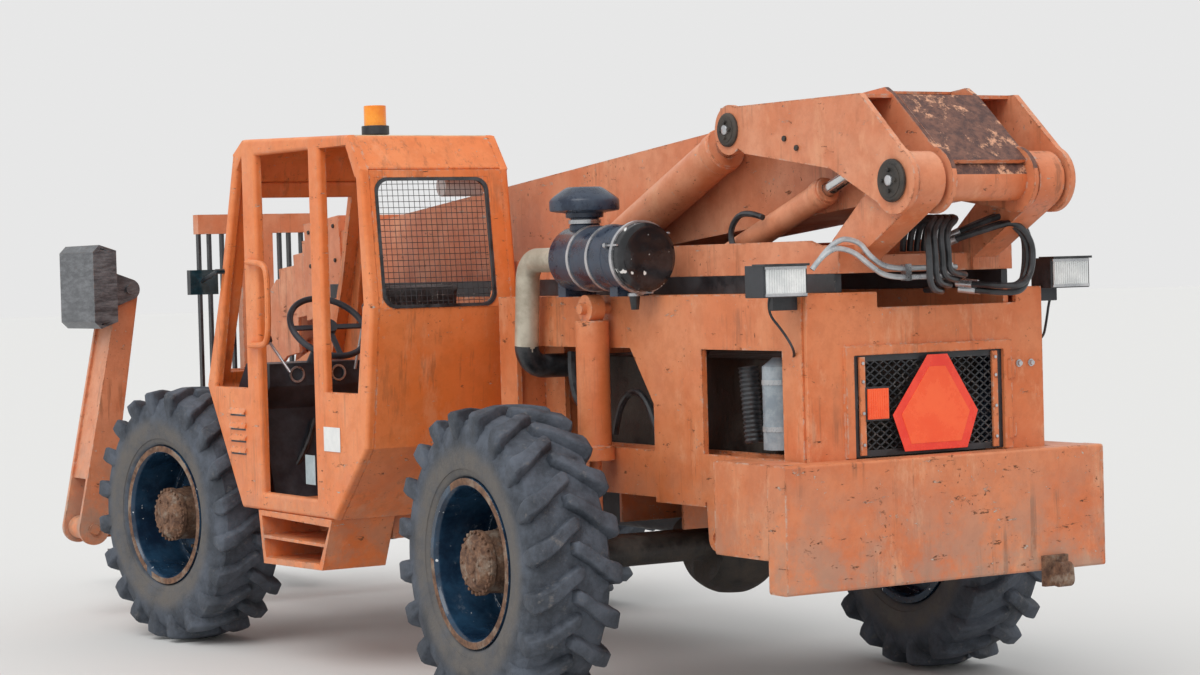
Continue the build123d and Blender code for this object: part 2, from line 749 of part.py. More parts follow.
def cylinder_pair(base, tip, barrel_length, barrel_radius, rod_radius, base_half, tip_half, pin_radius,
                  tip_pin, stand_off):
    """Barrel and rod of a hydraulic cylinder between two pins that lie along Y at y = 0."""
    way = Vector(tip[0] - base[0], 0, tip[1] - base[1])
    length = way.length
    start = Vector(base[0], 0, base[1])
    place = Plane(origin=start, x_dir=(0, 1, 0), z_dir=way)
    up = (Align.CENTER, Align.CENTER, Align.MIN)
    barrel = place * (Pos(0, 0, barrel_radius * 0.9) * Cylinder(barrel_radius, barrel_length, align=up))
    bore_start = barrel_radius * 0.9 + barrel_cap
    rod_start = bore_start + stand_off
    barrel -= place * (Pos(0, 0, bore_start) * Cylinder(rod_radius + running_gap, barrel_length + 99,
                                                        align=up))
    eye = cross_bar(base[0], base[1], barrel_radius * 0.72, -base_half, base_half)
    barrel += eye + place * Cylinder(base_half * 0.85, barrel_radius + 10, align=up)
    barrel -= cross_bar(base[0], base[1], pin_radius + running_gap, -900, 900)
    rod = place * (Pos(0, 0, rod_start) * Cylinder(rod_radius, length - rod_start, align=up))
    tip_eye = cross_bar(tip[0], tip[1], rod_radius * 1.6, -tip_half, tip_half)
    rod += tip_eye + cross_bar(tip[0], tip[1], pin_radius, -tip_pin, tip_pin)
    return barrel, rod


def lift_cylinders():
    barrel, rod = cylinder_pair(
        (lift_base_x, lift_base_z), (lift_pin_x, lift_pin_z), lift_barrel_length,
        lift_barrel_radius, lift_rod_radius, 52, lift_eye_half, 34, 54, rod_stand_off)
    barrels = [Pos(0, side * lift_y, 0) * barrel for side in (1, -1)]
    rods = [Pos(0, side * lift_y, 0) * rod for side in (1, -1)]
    return Compound(children=[s for b in barrels for s in b.solids()]), \
        Compound(children=[s for r in rods for s in r.solids()])


def level_cylinders():
    barrel, rod = cylinder_pair(
        (level_base_x, level_base_z), (level_pin_x, level_pin_z), level_barrel_length,
        level_barrel_radius, level_rod_radius, 40, 40, 26, 52, rod_stand_off)
    barrels = [Pos(0, side * level_y, 0) * barrel for side in (1, -1)]
    rods = [Pos(0, side * level_y, 0) * rod for side in (1, -1)]
    return Compound(children=[s for b in barrels for s in b.solids()]), \
        Compound(children=[s for r in rods for s in r.solids()])


def tilt_cylinder():
    return cylinder_pair((tilt_base_x, tilt_base_z), (tilt_pin_x, tilt_pin_z), tilt_barrel_length,
                         tilt_barrel_radius, tilt_rod_radius, 46, 36, 24, 48, tilt_stand_off)


# Fork carriage

def fork_carriage():
    back_x0 = fork_back_x
    back_x1 = fork_back_x + 60
    front_x = shank_front_x - fork_thick - slide_gap
    ears = link([(head_pin_x, head_pin_z, 84), (back_x0 + 20, 560, 90), (back_x0 + 20, 760, 90)],
                goose_half + 8, goose_half + 34)
    ears = ears & block(4000, back_x0 + 30, 0, 900, 0, 2000)
    solid = fuse_sides(ears)
    solid += cross_bar(head_pin_x, head_pin_z, 38, -goose_half - 34, goose_half + 34)
    solid += block(back_x0, back_x1, -260, 260, 420, 1300)
    solid += block(back_x0, back_x1, -100, 100, 1290, 2080)
    lug = link([(tilt_pin_x, tilt_pin_z, 52), (back_x0 + 20, 930, 60)], 52, 76)
    solid += fuse_sides(lug & block(4000, back_x0 + 30, 0, 900, 0, 2000))
    for z0, z1 in ((420, 520), (820, 920)):
        solid += block(back_x0, front_x, -carrier_half, carrier_half, z0, z1)
    solid += fuse_sides(block(back_x0, back_x1, carrier_half - 60, carrier_half, 420, 920))
    solid += block(back_x0, back_x0 + 70, -backrest_half, backrest_half, 2070, backrest_top_z)
    for y in (351, 287, 209, 150):
        solid += fuse_sides(block(back_x0 + 4, back_x0 + bar_depth, y - 8, y + 8, 860, 2090))
    return solid


def forks():
    pieces = []
    x0 = shank_front_x - fork_thick
    for side in (1, -1):
        y = side * fork_y
        shank = block(x0, x0 + fork_thick, y - fork_width / 2, y + fork_width / 2, fork_top_z - fork_thick,
                      1000)
        blade = side_plate([(x0, fork_top_z - fork_thick), (x0, fork_top_z), (fork_tip_x, fork_top_z),
                            (fork_tip_x, fork_top_z - 12)], y - fork_width / 2, y + fork_width / 2)
        hook = block(fork_back_x + bar_depth + bar_gap, x0 + 1, y - fork_width / 2, y + fork_width / 2,
                     920 + slide_gap, 960)
        pieces += (shank + blade + hook).solids()
    return Compound(children=pieces)


# Outriggers

def outrigger_arm(side):
    x = outrigger_x
    plates = None
    for x0 in (x - outrigger_half, x + outrigger_half - outrigger_plate):
        plate = cross_link([(side * outrigger_pin_y, outrigger_pin_z, 85),
                            (side * foot_pin_y, foot_pin_z, 58)], x0, x0 + outrigger_plate)
        plates = plate if plates is None else plates + plate
    lean = hypot(foot_pin_y - outrigger_pin_y, foot_pin_z - outrigger_pin_z)
    uy = (foot_pin_y - outrigger_pin_y) / lean
    uz = (foot_pin_z - outrigger_pin_z) / lean
    near = Vector(outrigger_pin_y + uy * 260 - uz * -66, outrigger_pin_z + uz * 260 + uy * -66)
    far = Vector(outrigger_pin_y + uy * 1130 + uz * 46, outrigger_pin_z + uz * 1130 - uy * 46)
    web = end_plate([(side * near.X, near.Y), (side * far.X, far.Y),
                     (side * (far.X - uz * 18), far.Y + uy * 18),
                     (side * (near.X - uz * 18), near.Y + uy * 18)],
                    x - outrigger_half + 2, x + outrigger_half - 2)
    solid = plates + web
    solid -= rod_between((x - 300, side * outrigger_pin_y, outrigger_pin_z),
                         (x + 300, side * outrigger_pin_y, outrigger_pin_z), 30 + running_gap)
    solid -= rod_between((x - 300, side * foot_pin_y, foot_pin_z),
                         (x + 300, side * foot_pin_y, foot_pin_z), 26 + running_gap)
    return solid


def outrigger_foot(side):
    """Steel shoe with turned edges, its lugs and its pin."""
    x0 = outrigger_x - foot_half
    x1 = outrigger_x + foot_half
    sole = foot_pin_y + foot_depth
    rim_y = sole - 131
    skin = 18
    outline = [(rim_y, 1600), (sole - 36, 1565), (sole, 1600), (sole, 1975), (sole - 36, 2012),
               (rim_y, 1980), (rim_y, 1980 - skin), (sole - 42, 2012 - skin), (sole - skin, 1970),
               (sole - skin, 1608), (sole - 42, 1565 + skin), (rim_y, 1600 + skin)]
    shoe = end_plate([(side * y, z) for y, z in outline], x0, x1)
    for x in (x0, outrigger_x - 120, outrigger_x + 104, x1 - 16):
        rib = [(rim_y, 1610), (sole - 31, 1590), (sole - 10, 1620), (sole - 10, 1960),
               (sole - 31, 1990), (rim_y, 1970)]
        shoe += end_plate([(side * y, z) for y, z in rib], x, x + 16)
    for x in (outrigger_x - outrigger_half - 26, outrigger_x + outrigger_half + 8):
        lug = cross_link([(side * foot_pin_y, foot_pin_z, 56), (side * (sole - 66), 1830, 60),
                          (side * (sole - 66), 1710, 60)], x, x + 18)
        shoe += lug & block(x - 9, x + 30, min(0, side * (sole - 10)), max(0, side * (sole - 10)),
                            1000, 2300)
    pin = rod_between((outrigger_x - outrigger_half - 40, side * foot_pin_y, foot_pin_z),
                      (outrigger_x + outrigger_half + 40, side * foot_pin_y, foot_pin_z), 26)
    return shoe + pin


def outrigger_cylinder(side):
    """Barrel and rod that lie across the machine."""
    base = Vector(stay_x, side * stay_base_y, stay_base_z)
    tip = Vector(stay_x, side * stay_pin_y, stay_pin_z)
    way = tip - base
    place = Plane(origin=base, x_dir=(1, 0, 0), z_dir=way)
    up = (Align.CENTER, Align.CENTER, Align.MIN)
    barrel = place * (Pos(0, 0, 45) * Cylinder(stay_barrel_radius, stay_barrel_length, align=up))
    barrel += rod_between((stay_x - 34, base.Y, base.Z), (stay_x + 34, base.Y, base.Z), 36)
    barrel += place * (Pos(0, 0, 10) * Cylinder(30, 60, align=up))
    barrel -= rod_between((stay_x - 99, base.Y, base.Z), (stay_x + 99, base.Y, base.Z),
                          18 + running_gap)
    bore_start = 45 + barrel_cap
    rod_start = bore_start + rod_stand_off
    barrel -= place * (Pos(0, 0, bore_start) * Cylinder(stay_rod_radius + running_gap, 900, align=up))
    rod = place * (Pos(0, 0, rod_start) * Cylinder(stay_rod_radius, way.length - rod_start, align=up))
    rod += rod_between((stay_x - 34, tip.Y, tip.Z), (stay_x + 34, tip.Y, tip.Z), 44)
    rod += rod_between((stay_x - 60, tip.Y, tip.Z), (stay_x + 60, tip.Y, tip.Z), 20)
    return barrel, rod


os.makedirs("parts", exist_ok=True)
shell = cab_shell()
save("frame_left", frame_left())
save("frame_right", mirror(frame_half(), about=Plane.XZ))
save("frame_members", frame_members())
save("carriage_rails", carriage_rails())
save("counterweight", counterweight())
save("rear_panel", rear_panel())
save("rear_grille", rear_grille())
save("engine_block", engine_block())
save("radiator", radiator())
save("axle_cylinders", axle_cylinders())
save("rear_axle", axle(0))
save("front_axle", axle(wheelbase))
save("cab_left", cab_left())
save("cab_right", cab_right())
save("cab_rear", cab_rear(shell))
save("cab_roof", cab_roof(shell))
save("cab_front", cab_front(shell))
save("cab_floor", cab_floor(shell))
save("seat", seat())
save("dash_console", dash_console())
save("steering_wheel", steering_wheel())
save("air_cleaner", air_cleaner())
save("intake_pipe", intake_pipe())
save("lamps", lamps())
save("mirror", mirror_head())
save("pintle_hitch", pintle_hitch())
save("fuel_tank", fuel_tank())
save("boom_carriage", boom_carriage())
save("boom_outer", boom_outer())
save("boom_mid", boom_mid())
save("boom_inner", boom_inner())
lift_barrels, lift_rods = lift_cylinders()
save("lift_barrels", lift_barrels)
save("lift_rods", lift_rods)
level_barrels, level_rods = level_cylinders()
save("level_barrels", level_barrels)
save("level_rods", level_rods)
tilt_barrel, tilt_rod = tilt_cylinder()
save("tilt_barrel", tilt_barrel)
save("tilt_rod", tilt_rod)
save("fork_carriage", fork_carriage())
save("forks", forks())
for hand, side in (("left", 1), ("right", -1)):
    save(f"outrigger_arm_{hand}", outrigger_arm(side))
    save(f"outrigger_foot_{hand}", outrigger_foot(side))
    barrel, rod = outrigger_cylinder(side)
    save(f"outrigger_barrel_{hand}", barrel)
    save(f"outrigger_rod_{hand}", rod)
    for end, axle_x, angle in (("front", wheelbase, front_steer_rest), ("rear", 0, rear_steer_rest)):
        save(f"knuckle_{end}_{hand}", steered(knuckle(axle_x, side), axle_x, side, angle))
        save(f"tyre_{end}_{hand}", steered(tyre(axle_x, side), axle_x, side, angle))
        save(f"rim_{end}_{hand}", steered(rim(axle_x, side), axle_x, side, angle))
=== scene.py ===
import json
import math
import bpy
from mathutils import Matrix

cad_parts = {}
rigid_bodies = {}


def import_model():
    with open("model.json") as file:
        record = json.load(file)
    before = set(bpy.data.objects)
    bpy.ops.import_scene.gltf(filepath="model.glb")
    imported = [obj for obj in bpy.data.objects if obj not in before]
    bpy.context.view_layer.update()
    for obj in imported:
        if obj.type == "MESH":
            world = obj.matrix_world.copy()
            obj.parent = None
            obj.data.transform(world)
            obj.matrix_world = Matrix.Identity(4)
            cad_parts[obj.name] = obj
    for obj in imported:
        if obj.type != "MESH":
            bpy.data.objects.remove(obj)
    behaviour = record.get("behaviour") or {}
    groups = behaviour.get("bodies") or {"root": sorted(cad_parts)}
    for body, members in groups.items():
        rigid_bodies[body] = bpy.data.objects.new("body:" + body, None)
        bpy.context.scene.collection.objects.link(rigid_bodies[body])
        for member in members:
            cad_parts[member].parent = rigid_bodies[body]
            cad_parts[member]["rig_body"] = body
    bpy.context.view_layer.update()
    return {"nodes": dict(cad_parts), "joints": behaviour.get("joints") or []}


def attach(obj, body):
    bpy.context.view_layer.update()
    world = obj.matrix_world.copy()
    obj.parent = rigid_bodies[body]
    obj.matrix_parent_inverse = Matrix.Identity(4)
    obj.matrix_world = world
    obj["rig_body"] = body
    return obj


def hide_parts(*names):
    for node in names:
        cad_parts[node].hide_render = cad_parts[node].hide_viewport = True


bl_info = {
    "name": "Rough-terrain forklift truck",
    "version": (1, 0, 0),
    "blender": (4, 5, 0),
    "location": "View3D > Sidebar > Forklift",
    "description": "Dresses a rough-terrain forklift truck: faded paint, lugged tyres, hoses and fittings",
    "category": "Object",
}

import bmesh
import bpy
from bpy.props import FloatProperty, FloatVectorProperty, IntProperty
from mathutils import Matrix, Vector

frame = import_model()

# The drawing frame of every size below: metres, X forwards from the rear axle, Y to the left, Z up.
joints = {joint["name"]: joint for joint in frame["joints"]}
rear_axle_x = joints["steer_rear_left"]["pos_m"][0]
origin = Vector((rear_axle_x, 0, 0))

# Pins of the boom and of its cylinders: X and Z.
tail_pin = (-1.700, 2.110)
lift_rod_pin = (-0.633, 2.355)
lift_barrel_pin = (0.940, 1.668)
level_rod_pin = (-1.370, 2.170)
level_barrel_pin = (-0.400, 1.830)

hose_radius = 0.0125
handed = (("left", 1), ("right", -1))


def spot(x, y, z):
    """A point of the drawing frame, in the frame's own metres."""
    return Vector((rear_axle_x + x, y, z))


# Node trees

class Tree:
    """A node tree being built. A socket is fed with another socket, a number, a vector or a colour."""

    def __init__(self, tree):
        self.tree = tree

    def feed(self, node, feeds):
        for name, value in feeds.items():
            socket = node.inputs[name]
            if isinstance(value, bpy.types.NodeSocket):
                self.tree.links.new(value, socket)
            else:
                socket.default_value = (*value, 1.0) if socket.type == "RGBA" else value
        return node

    def add(self, kind, feeds=None, **settings):
        node = self.tree.nodes.new(kind)
        for key, value in settings.items():
            setattr(node, key, value)
        return self.feed(node, feeds or {})

    def maths(self, operation, first, second):
        return self.add("ShaderNodeMath", {0: first, 1: second}, operation=operation).outputs["Value"]

    def times(self, first, second):
        return self.maths("MULTIPLY", first, second)

    def plus(self, first, second):
        return self.maths("ADD", first, second)

    def most(self, first, second):
        return self.maths("MAXIMUM", first, second)


# Materials

class Finish(Tree):
    """A material being built, with short calls for the shader nodes used again and again."""

    def __init__(self, name):
        self.material = bpy.data.materials.new(name)
        self.material.use_nodes = True
        super().__init__(self.material.node_tree)
        texture_place = self.add("ShaderNodeTexCoord")
        self.place = texture_place.outputs["Object"]
        self.facing = texture_place.outputs["Normal"]

    def noise(self, scale, detail=5.0, roughness=0.6, stretch=None, distortion=0.0):
        """Noise on Object coordinates, which stretch multiplies along each axis."""
        place = self.place
        if stretch:
            place = self.add("ShaderNodeMapping", {"Vector": place, "Scale": stretch}).outputs["Vector"]
        return self.add("ShaderNodeTexNoise", {
            "Vector": place, "Scale": scale, "Detail": detail, "Roughness": roughness,
            "Distortion": distortion}).outputs["Fac"]

    def step(self, value, low, high, bottom=0.0, top=1.0):
        """Smooth step of a value from one level to another."""
        return self.add("ShaderNodeMapRange", {
            "Value": value, "From Min": low, "From Max": high, "To Min": bottom, "To Max": top},
            interpolation_type="SMOOTHSTEP").outputs["Result"]

    def patches(self, noise, *levels):
        """Soft-edged patches: a noise's settings, and the levels it is stepped between."""
        return self.step(self.noise(*noise), *levels)

    def blend(self, factor, first, second):
        return self.add("ShaderNodeMix", {0: factor, 6: first, 7: second}, data_type="RGBA").outputs[2]

    def layers(self, colour, *layers):
        """Lays each mask's colour over what is below it."""
        for mask, tint in layers:
            colour = self.blend(mask, colour, tint)
        return colour

    def part_of(self, vector, axis):
        return self.add("ShaderNodeSeparateXYZ", {"Vector": vector}).outputs[axis]

    def edges(self, width):
        """1 along sharp corners and 0 on open faces."""
        rounded = self.add("ShaderNodeBevel", {"Radius": width}, samples=4)
        geometry = self.add("ShaderNodeNewGeometry")
        match = self.add("ShaderNodeVectorMath", {0: rounded.outputs["Normal"], 1: geometry.outputs["Normal"]},
                         operation="DOT_PRODUCT")
        return self.step(match.outputs["Value"], 0.97, 0.80)

    def radius_about(self, centre):
        """Distance from a line along Y through a point."""
        flat = self.add("ShaderNodeMapping", {
            "Vector": self.place, "Location": (-centre[0], 0.0, -centre[2]), "Scale": (1.0, 0.0, 1.0)})
        return self.add("ShaderNodeVectorMath", {0: flat.outputs["Vector"]}, operation="LENGTH").outputs["Value"]

    def done(self, colour, roughness, metallic=0.0, height=None, depth=0.002):
        """Feeds the shader. Height is a bump socket, and depth its size in metres."""
        feeds = {"Base Color": colour, "Roughness": roughness, "Metallic": metallic}
        if height is not None:
            feeds["Normal"] = self.add("ShaderNodeBump", {"Distance": depth, "Height": height}).outputs["Normal"]
        self.feed(self.tree.nodes["Principled BSDF"], feeds)
        return self.material


rust_dark = (0.060, 0.022, 0.010)
rust_bright = (0.30, 0.105, 0.035)
bare_primer = (0.50, 0.42, 0.35)
road_dust = (0.30, 0.25, 0.20)
drip_brown = (0.19, 0.070, 0.030)
chalk_orange = (0.80, 0.42, 0.24)


def faded_and_lit_paint(name, fresh, faded_and_lit, wear, grime):
    """Paint paled in chalky patches, and paler still on faces turned up and to the left as painted light from above
    and the left; with drips, chips to rust along corners, and road dust low down.
    """
    finish = Finish(name)
    chalk = finish.patches((1.6, 7, 0.66), 0.40, 0.60)
    # Painted light: faces turned up and faces turned to the left are blended towards the pale colour, standing in for
    # light from above and from the left.
    painted_light_from_above = finish.step(finish.part_of(finish.facing, "Z"), 0.1, 0.95, 0.0, 0.45)
    painted_light_from_left = finish.step(finish.part_of(finish.facing, "Y"), 0.2, 1.0, 0.0, 0.30)
    # Chalky patches of real fading, plus the painted light from above and the left.
    chalk_and_painted_light = finish.maths("MINIMUM", finish.plus(finish.times(chalk, 0.45), finish.plus(painted_light_from_above, painted_light_from_left)), 1.0)
    mottle = finish.patches((11, 7, 0.75), 0.42, 0.62, 0.0, 0.30)
    drips = finish.times(finish.patches((6.0, 6, 0.70, (3.4, 3.4, 0.16)), 0.52, 0.64, 0.0, 0.62 * grime),
                         finish.patches((1.9, 4, 0.6), 0.47, 0.60))
    pale_runs = finish.patches((2.6, 8, 0.74, (1.6, 1.6, 0.7)), 0.54, 0.66, 0.0, 0.40 * grime)
    height = finish.part_of(finish.place, "Z")
    low_dust = finish.times(finish.step(height, 1.25, 0.25, 0.0, 0.80 * grime),
                            finish.patches((7.0, 6, 0.7), 0.36, 0.62))
    corner_wear = finish.times(finish.edges(0.016), finish.patches((34, 6, 0.75), 0.56 - 0.12 * wear, 0.60))
    eased = 0.022 * wear
    specks = finish.times(finish.patches((3.3, 5, 0.68), 0.50, 0.58),
                          finish.patches((52, 5, 0.72), 0.650 - eased, 0.670 - eased))
    scuffs = finish.patches((8.0, 9, 0.78, (1.0, 1.0, 3.5)), 0.635 - eased, 0.665 - eased)
    bare = finish.most(corner_wear, finish.most(specks, scuffs))
    rust = finish.blend(finish.patches((60, 5, 0.7), 0.3, 0.7), rust_dark, rust_bright)
    chips = finish.blend(finish.patches((17, 3, 0.5), 0.50, 0.56), rust, bare_primer)
    colour = finish.layers(fresh, (chalk_and_painted_light, faded_and_lit), (mottle, tuple(c * 0.72 for c in fresh)), (drips, drip_brown),
                           (pale_runs, chalk_orange), (low_dust, road_dust), (bare, chips))
    roughness = finish.plus(finish.patches((6.0, 5, 0.6), 0.3, 0.7, 0.38, 0.58), finish.times(bare, 0.25))
    relief = finish.maths("SUBTRACT", finish.times(finish.noise(3.4, 3, 0.5), 0.8), finish.times(bare, 0.16))
    return finish.done(colour, roughness, 0.0, relief, 0.006)


def plain_finish(name, colour, lit, roughness=0.45, metallic=0.0, relief=0.001):
    """One colour, dulled in clouds and slightly uneven."""
    finish = Finish(name)
    clouds = finish.patches((9, 6, 0.7), 0.36, 0.64)
    dulled = finish.step(clouds, 0, 1, roughness - 0.08, roughness + 0.14)
    return finish.done(finish.blend(clouds, colour, lit), dulled, metallic, finish.noise(40, 5, 0.6), relief)


def peeling_cap(name):
    """Glossy black cap with white spots where its film peeled."""
    finish = Finish(name)
    spots = finish.patches((21, 3, 0.62), 0.655, 0.675)
    black = finish.blend(finish.patches((6, 5, 0.6), 0.4, 0.65), (0.008, 0.009, 0.011), (0.035, 0.036, 0.040))
    return finish.done(finish.blend(spots, black, (0.74, 0.74, 0.72)), finish.step(spots, 0, 1, 0.16, 0.6), 0.0,
                       finish.noise(30, 4, 0.6), 0.0008)


def rubber(name, centre):
    """Worn tyre rubber: pale scuffs on the lugs, brown dust in a band on the sidewall."""
    finish = Finish(name)
    away = finish.radius_about(centre)
    clouds = finish.patches((6.5, 7, 0.72), 0.34, 0.68)
    band = finish.times(finish.times(finish.step(away, 0.345, 0.365), finish.step(away, 0.505, 0.43)),
                        finish.patches((9, 6, 0.7), 0.25, 0.66, 0.25, 0.95))
    mud = finish.times(finish.step(away, 0.50, 0.60), finish.patches((19, 6, 0.75), 0.56, 0.75))
    colour = finish.layers((0.027, 0.034, 0.046), (clouds, (0.098, 0.114, 0.143)), (band, (0.125, 0.112, 0.100)),
                           (mud, (0.165, 0.155, 0.150)))
    relief = finish.plus(finish.times(finish.noise(95, 5, 0.75), 0.35), finish.noise(14, 6, 0.7))
    return finish.done(colour, finish.step(clouds, 0, 1, 0.62, 0.86), 0.0, relief, 0.007)


def blue_rim(name):
    """Glossy dark blue paint with white chips and dust."""
    finish = Finish(name)
    clouds = finish.patches((5.5, 6, 0.7), 0.35, 0.7)
    dust = finish.patches((15, 7, 0.78), 0.55, 0.78, 0.0, 0.45)
    chips = finish.most(finish.patches((34, 3, 0.55), 0.705, 0.72),
                        finish.times(finish.edges(0.006), finish.patches((48, 4, 0.6), 0.52, 0.60)))
    colour = finish.layers((0.006, 0.017, 0.038), (clouds, (0.020, 0.058, 0.110)), (dust, (0.16, 0.17, 0.18)),
                           (chips, (0.62, 0.65, 0.68)))
    roughness = finish.plus(finish.step(dust, 0, 0.45, 0.18, 0.5), finish.times(chips, 0.3))
    return finish.done(colour, roughness, 0.0, finish.noise(9, 5, 0.6), 0.003)


def flaking_rust(name):
    """Flaking rust with dried mud."""
    finish = Finish(name)
    flakes = finish.noise(30, 8, 0.78)
    colour = finish.layers((0.075, 0.034, 0.020), (finish.step(flakes, 0.35, 0.7), (0.27, 0.145, 0.085)),
                           (finish.patches((11, 6, 0.7), 0.495, 0.655), (0.27, 0.205, 0.155)))
    relief = finish.plus(flakes, finish.times(finish.noise(90, 4, 0.7), 0.3))
    return finish.done(colour, finish.step(flakes, 0.3, 0.7, 0.75, 0.95), 0.0, relief, 0.006)


def rust_through_paint(name):
    """Brown-purple rust over the last patches of faded paint."""
    finish = Finish(name)
    flakes = finish.noise(26, 8, 0.78)
    left = finish.patches((5.5, 8, 0.76), 0.56, 0.62)
    colour = finish.layers((0.070, 0.030, 0.026), (finish.step(flakes, 0.36, 0.64), (0.205, 0.095, 0.068)),
                           (left, (0.66, 0.33, 0.20)))
    return finish.done(colour, finish.step(flakes, 0.3, 0.7, 0.55, 0.85), 0.0,
                       finish.plus(flakes, finish.times(left, 0.4)), 0.004)


def oily_iron(name):
    """Cast iron and plate black with oil and road dirt."""
    finish = Finish(name)
    grime = finish.patches((8, 7, 0.72), 0.35, 0.68)
    relief = finish.plus(finish.noise(24, 6, 0.7), finish.times(finish.noise(110, 3, 0.6), 0.2))
    return finish.done(finish.blend(grime, (0.018, 0.017, 0.016), (0.085, 0.070, 0.058)),
                       finish.step(grime, 0, 1, 0.42, 0.85), 0.15, relief, 0.004)


def black_enamel(name):
    """Black enamel, dulled, scraped on the corners."""
    finish = Finish(name)
    clouds = finish.patches((7, 6, 0.7), 0.35, 0.7)
    worn = finish.times(finish.edges(0.008), finish.patches((40, 5, 0.7), 0.55, 0.64))
    colour = finish.layers((0.012, 0.013, 0.016), (clouds, (0.045, 0.048, 0.055)), (worn, (0.20, 0.17, 0.15)))
    return finish.done(colour, finish.step(clouds, 0, 1, 0.32, 0.62), 0.0, finish.noise(30, 5, 0.6), 0.0012)


def chrome(name):
    """Chromed piston rod with fine rings and a film of oil."""
    finish = Finish(name)
    film = finish.patches((12, 5, 0.65), 0.4, 0.7)
    return finish.done(finish.blend(film, (0.66, 0.66, 0.66), (0.45, 0.42, 0.39)),
                       finish.step(film, 0, 1, 0.16, 0.38), 1.0, finish.noise(160, 3, 0.5), 0.0003)


def scraped_steel(name):
    """Scraped grey steel with rust along the corners."""
    finish = Finish(name)
    scrape = finish.noise(7, 8, 0.78, (1.0, 1.0, 4.0))
    rust = finish.most(finish.patches((13, 7, 0.75), 0.62, 0.74),
                       finish.times(finish.edges(0.012), finish.patches((30, 5, 0.7), 0.5, 0.62)))
    colour = finish.layers((0.085, 0.090, 0.100), (finish.step(scrape, 0.35, 0.7), (0.26, 0.27, 0.285)),
                           (rust, (0.19, 0.095, 0.050)))
    roughness = finish.plus(finish.step(scrape, 0.3, 0.7, 0.34, 0.55), finish.times(rust, 0.3))
    return finish.done(colour, roughness, finish.maths("SUBTRACT", 0.75, finish.times(rust, 0.7)), scrape, 0.002)


def grained_plastic(name):
    """Grained dark plastic, greyed by sun and dust."""
    finish = Finish(name)
    dust = finish.patches((5, 6, 0.7), 0.38, 0.72)
    return finish.done(finish.blend(dust, (0.014, 0.018, 0.026), (0.060, 0.068, 0.082)),
                       finish.step(dust, 0, 1, 0.42, 0.70), 0.0, finish.noise(420, 2, 0.5), 0.0005)


def creased_vinyl(name):
    """Black seat vinyl with creases."""
    finish = Finish(name)
    creases = finish.noise(16, 7, 0.72, None, 1.4)
    grain = finish.add("ShaderNodeTexVoronoi", {"Vector": finish.place, "Scale": 380}).outputs["Distance"]
    return finish.done(finish.blend(finish.step(creases, 0.4, 0.7), (0.014, 0.014, 0.016), (0.060, 0.058, 0.058)),
                       finish.step(creases, 0.3, 0.7, 0.42, 0.66), 0.0,
                       finish.plus(creases, finish.times(grain, 0.15)), 0.003)


def beige_enamel(name):
    """Beige enamel of the intake pipe."""
    finish = Finish(name)
    clouds = finish.patches((7, 6, 0.68), 0.35, 0.7)
    colour = finish.layers((0.36, 0.31, 0.235), (clouds, (0.56, 0.51, 0.41)),
                           (finish.patches((22, 6, 0.75), 0.60, 0.78, 0.0, 0.6), (0.13, 0.11, 0.09)))
    return finish.done(colour, finish.step(clouds, 0, 1, 0.50, 0.36), 0.25, finish.noise(26, 4, 0.6), 0.0008)


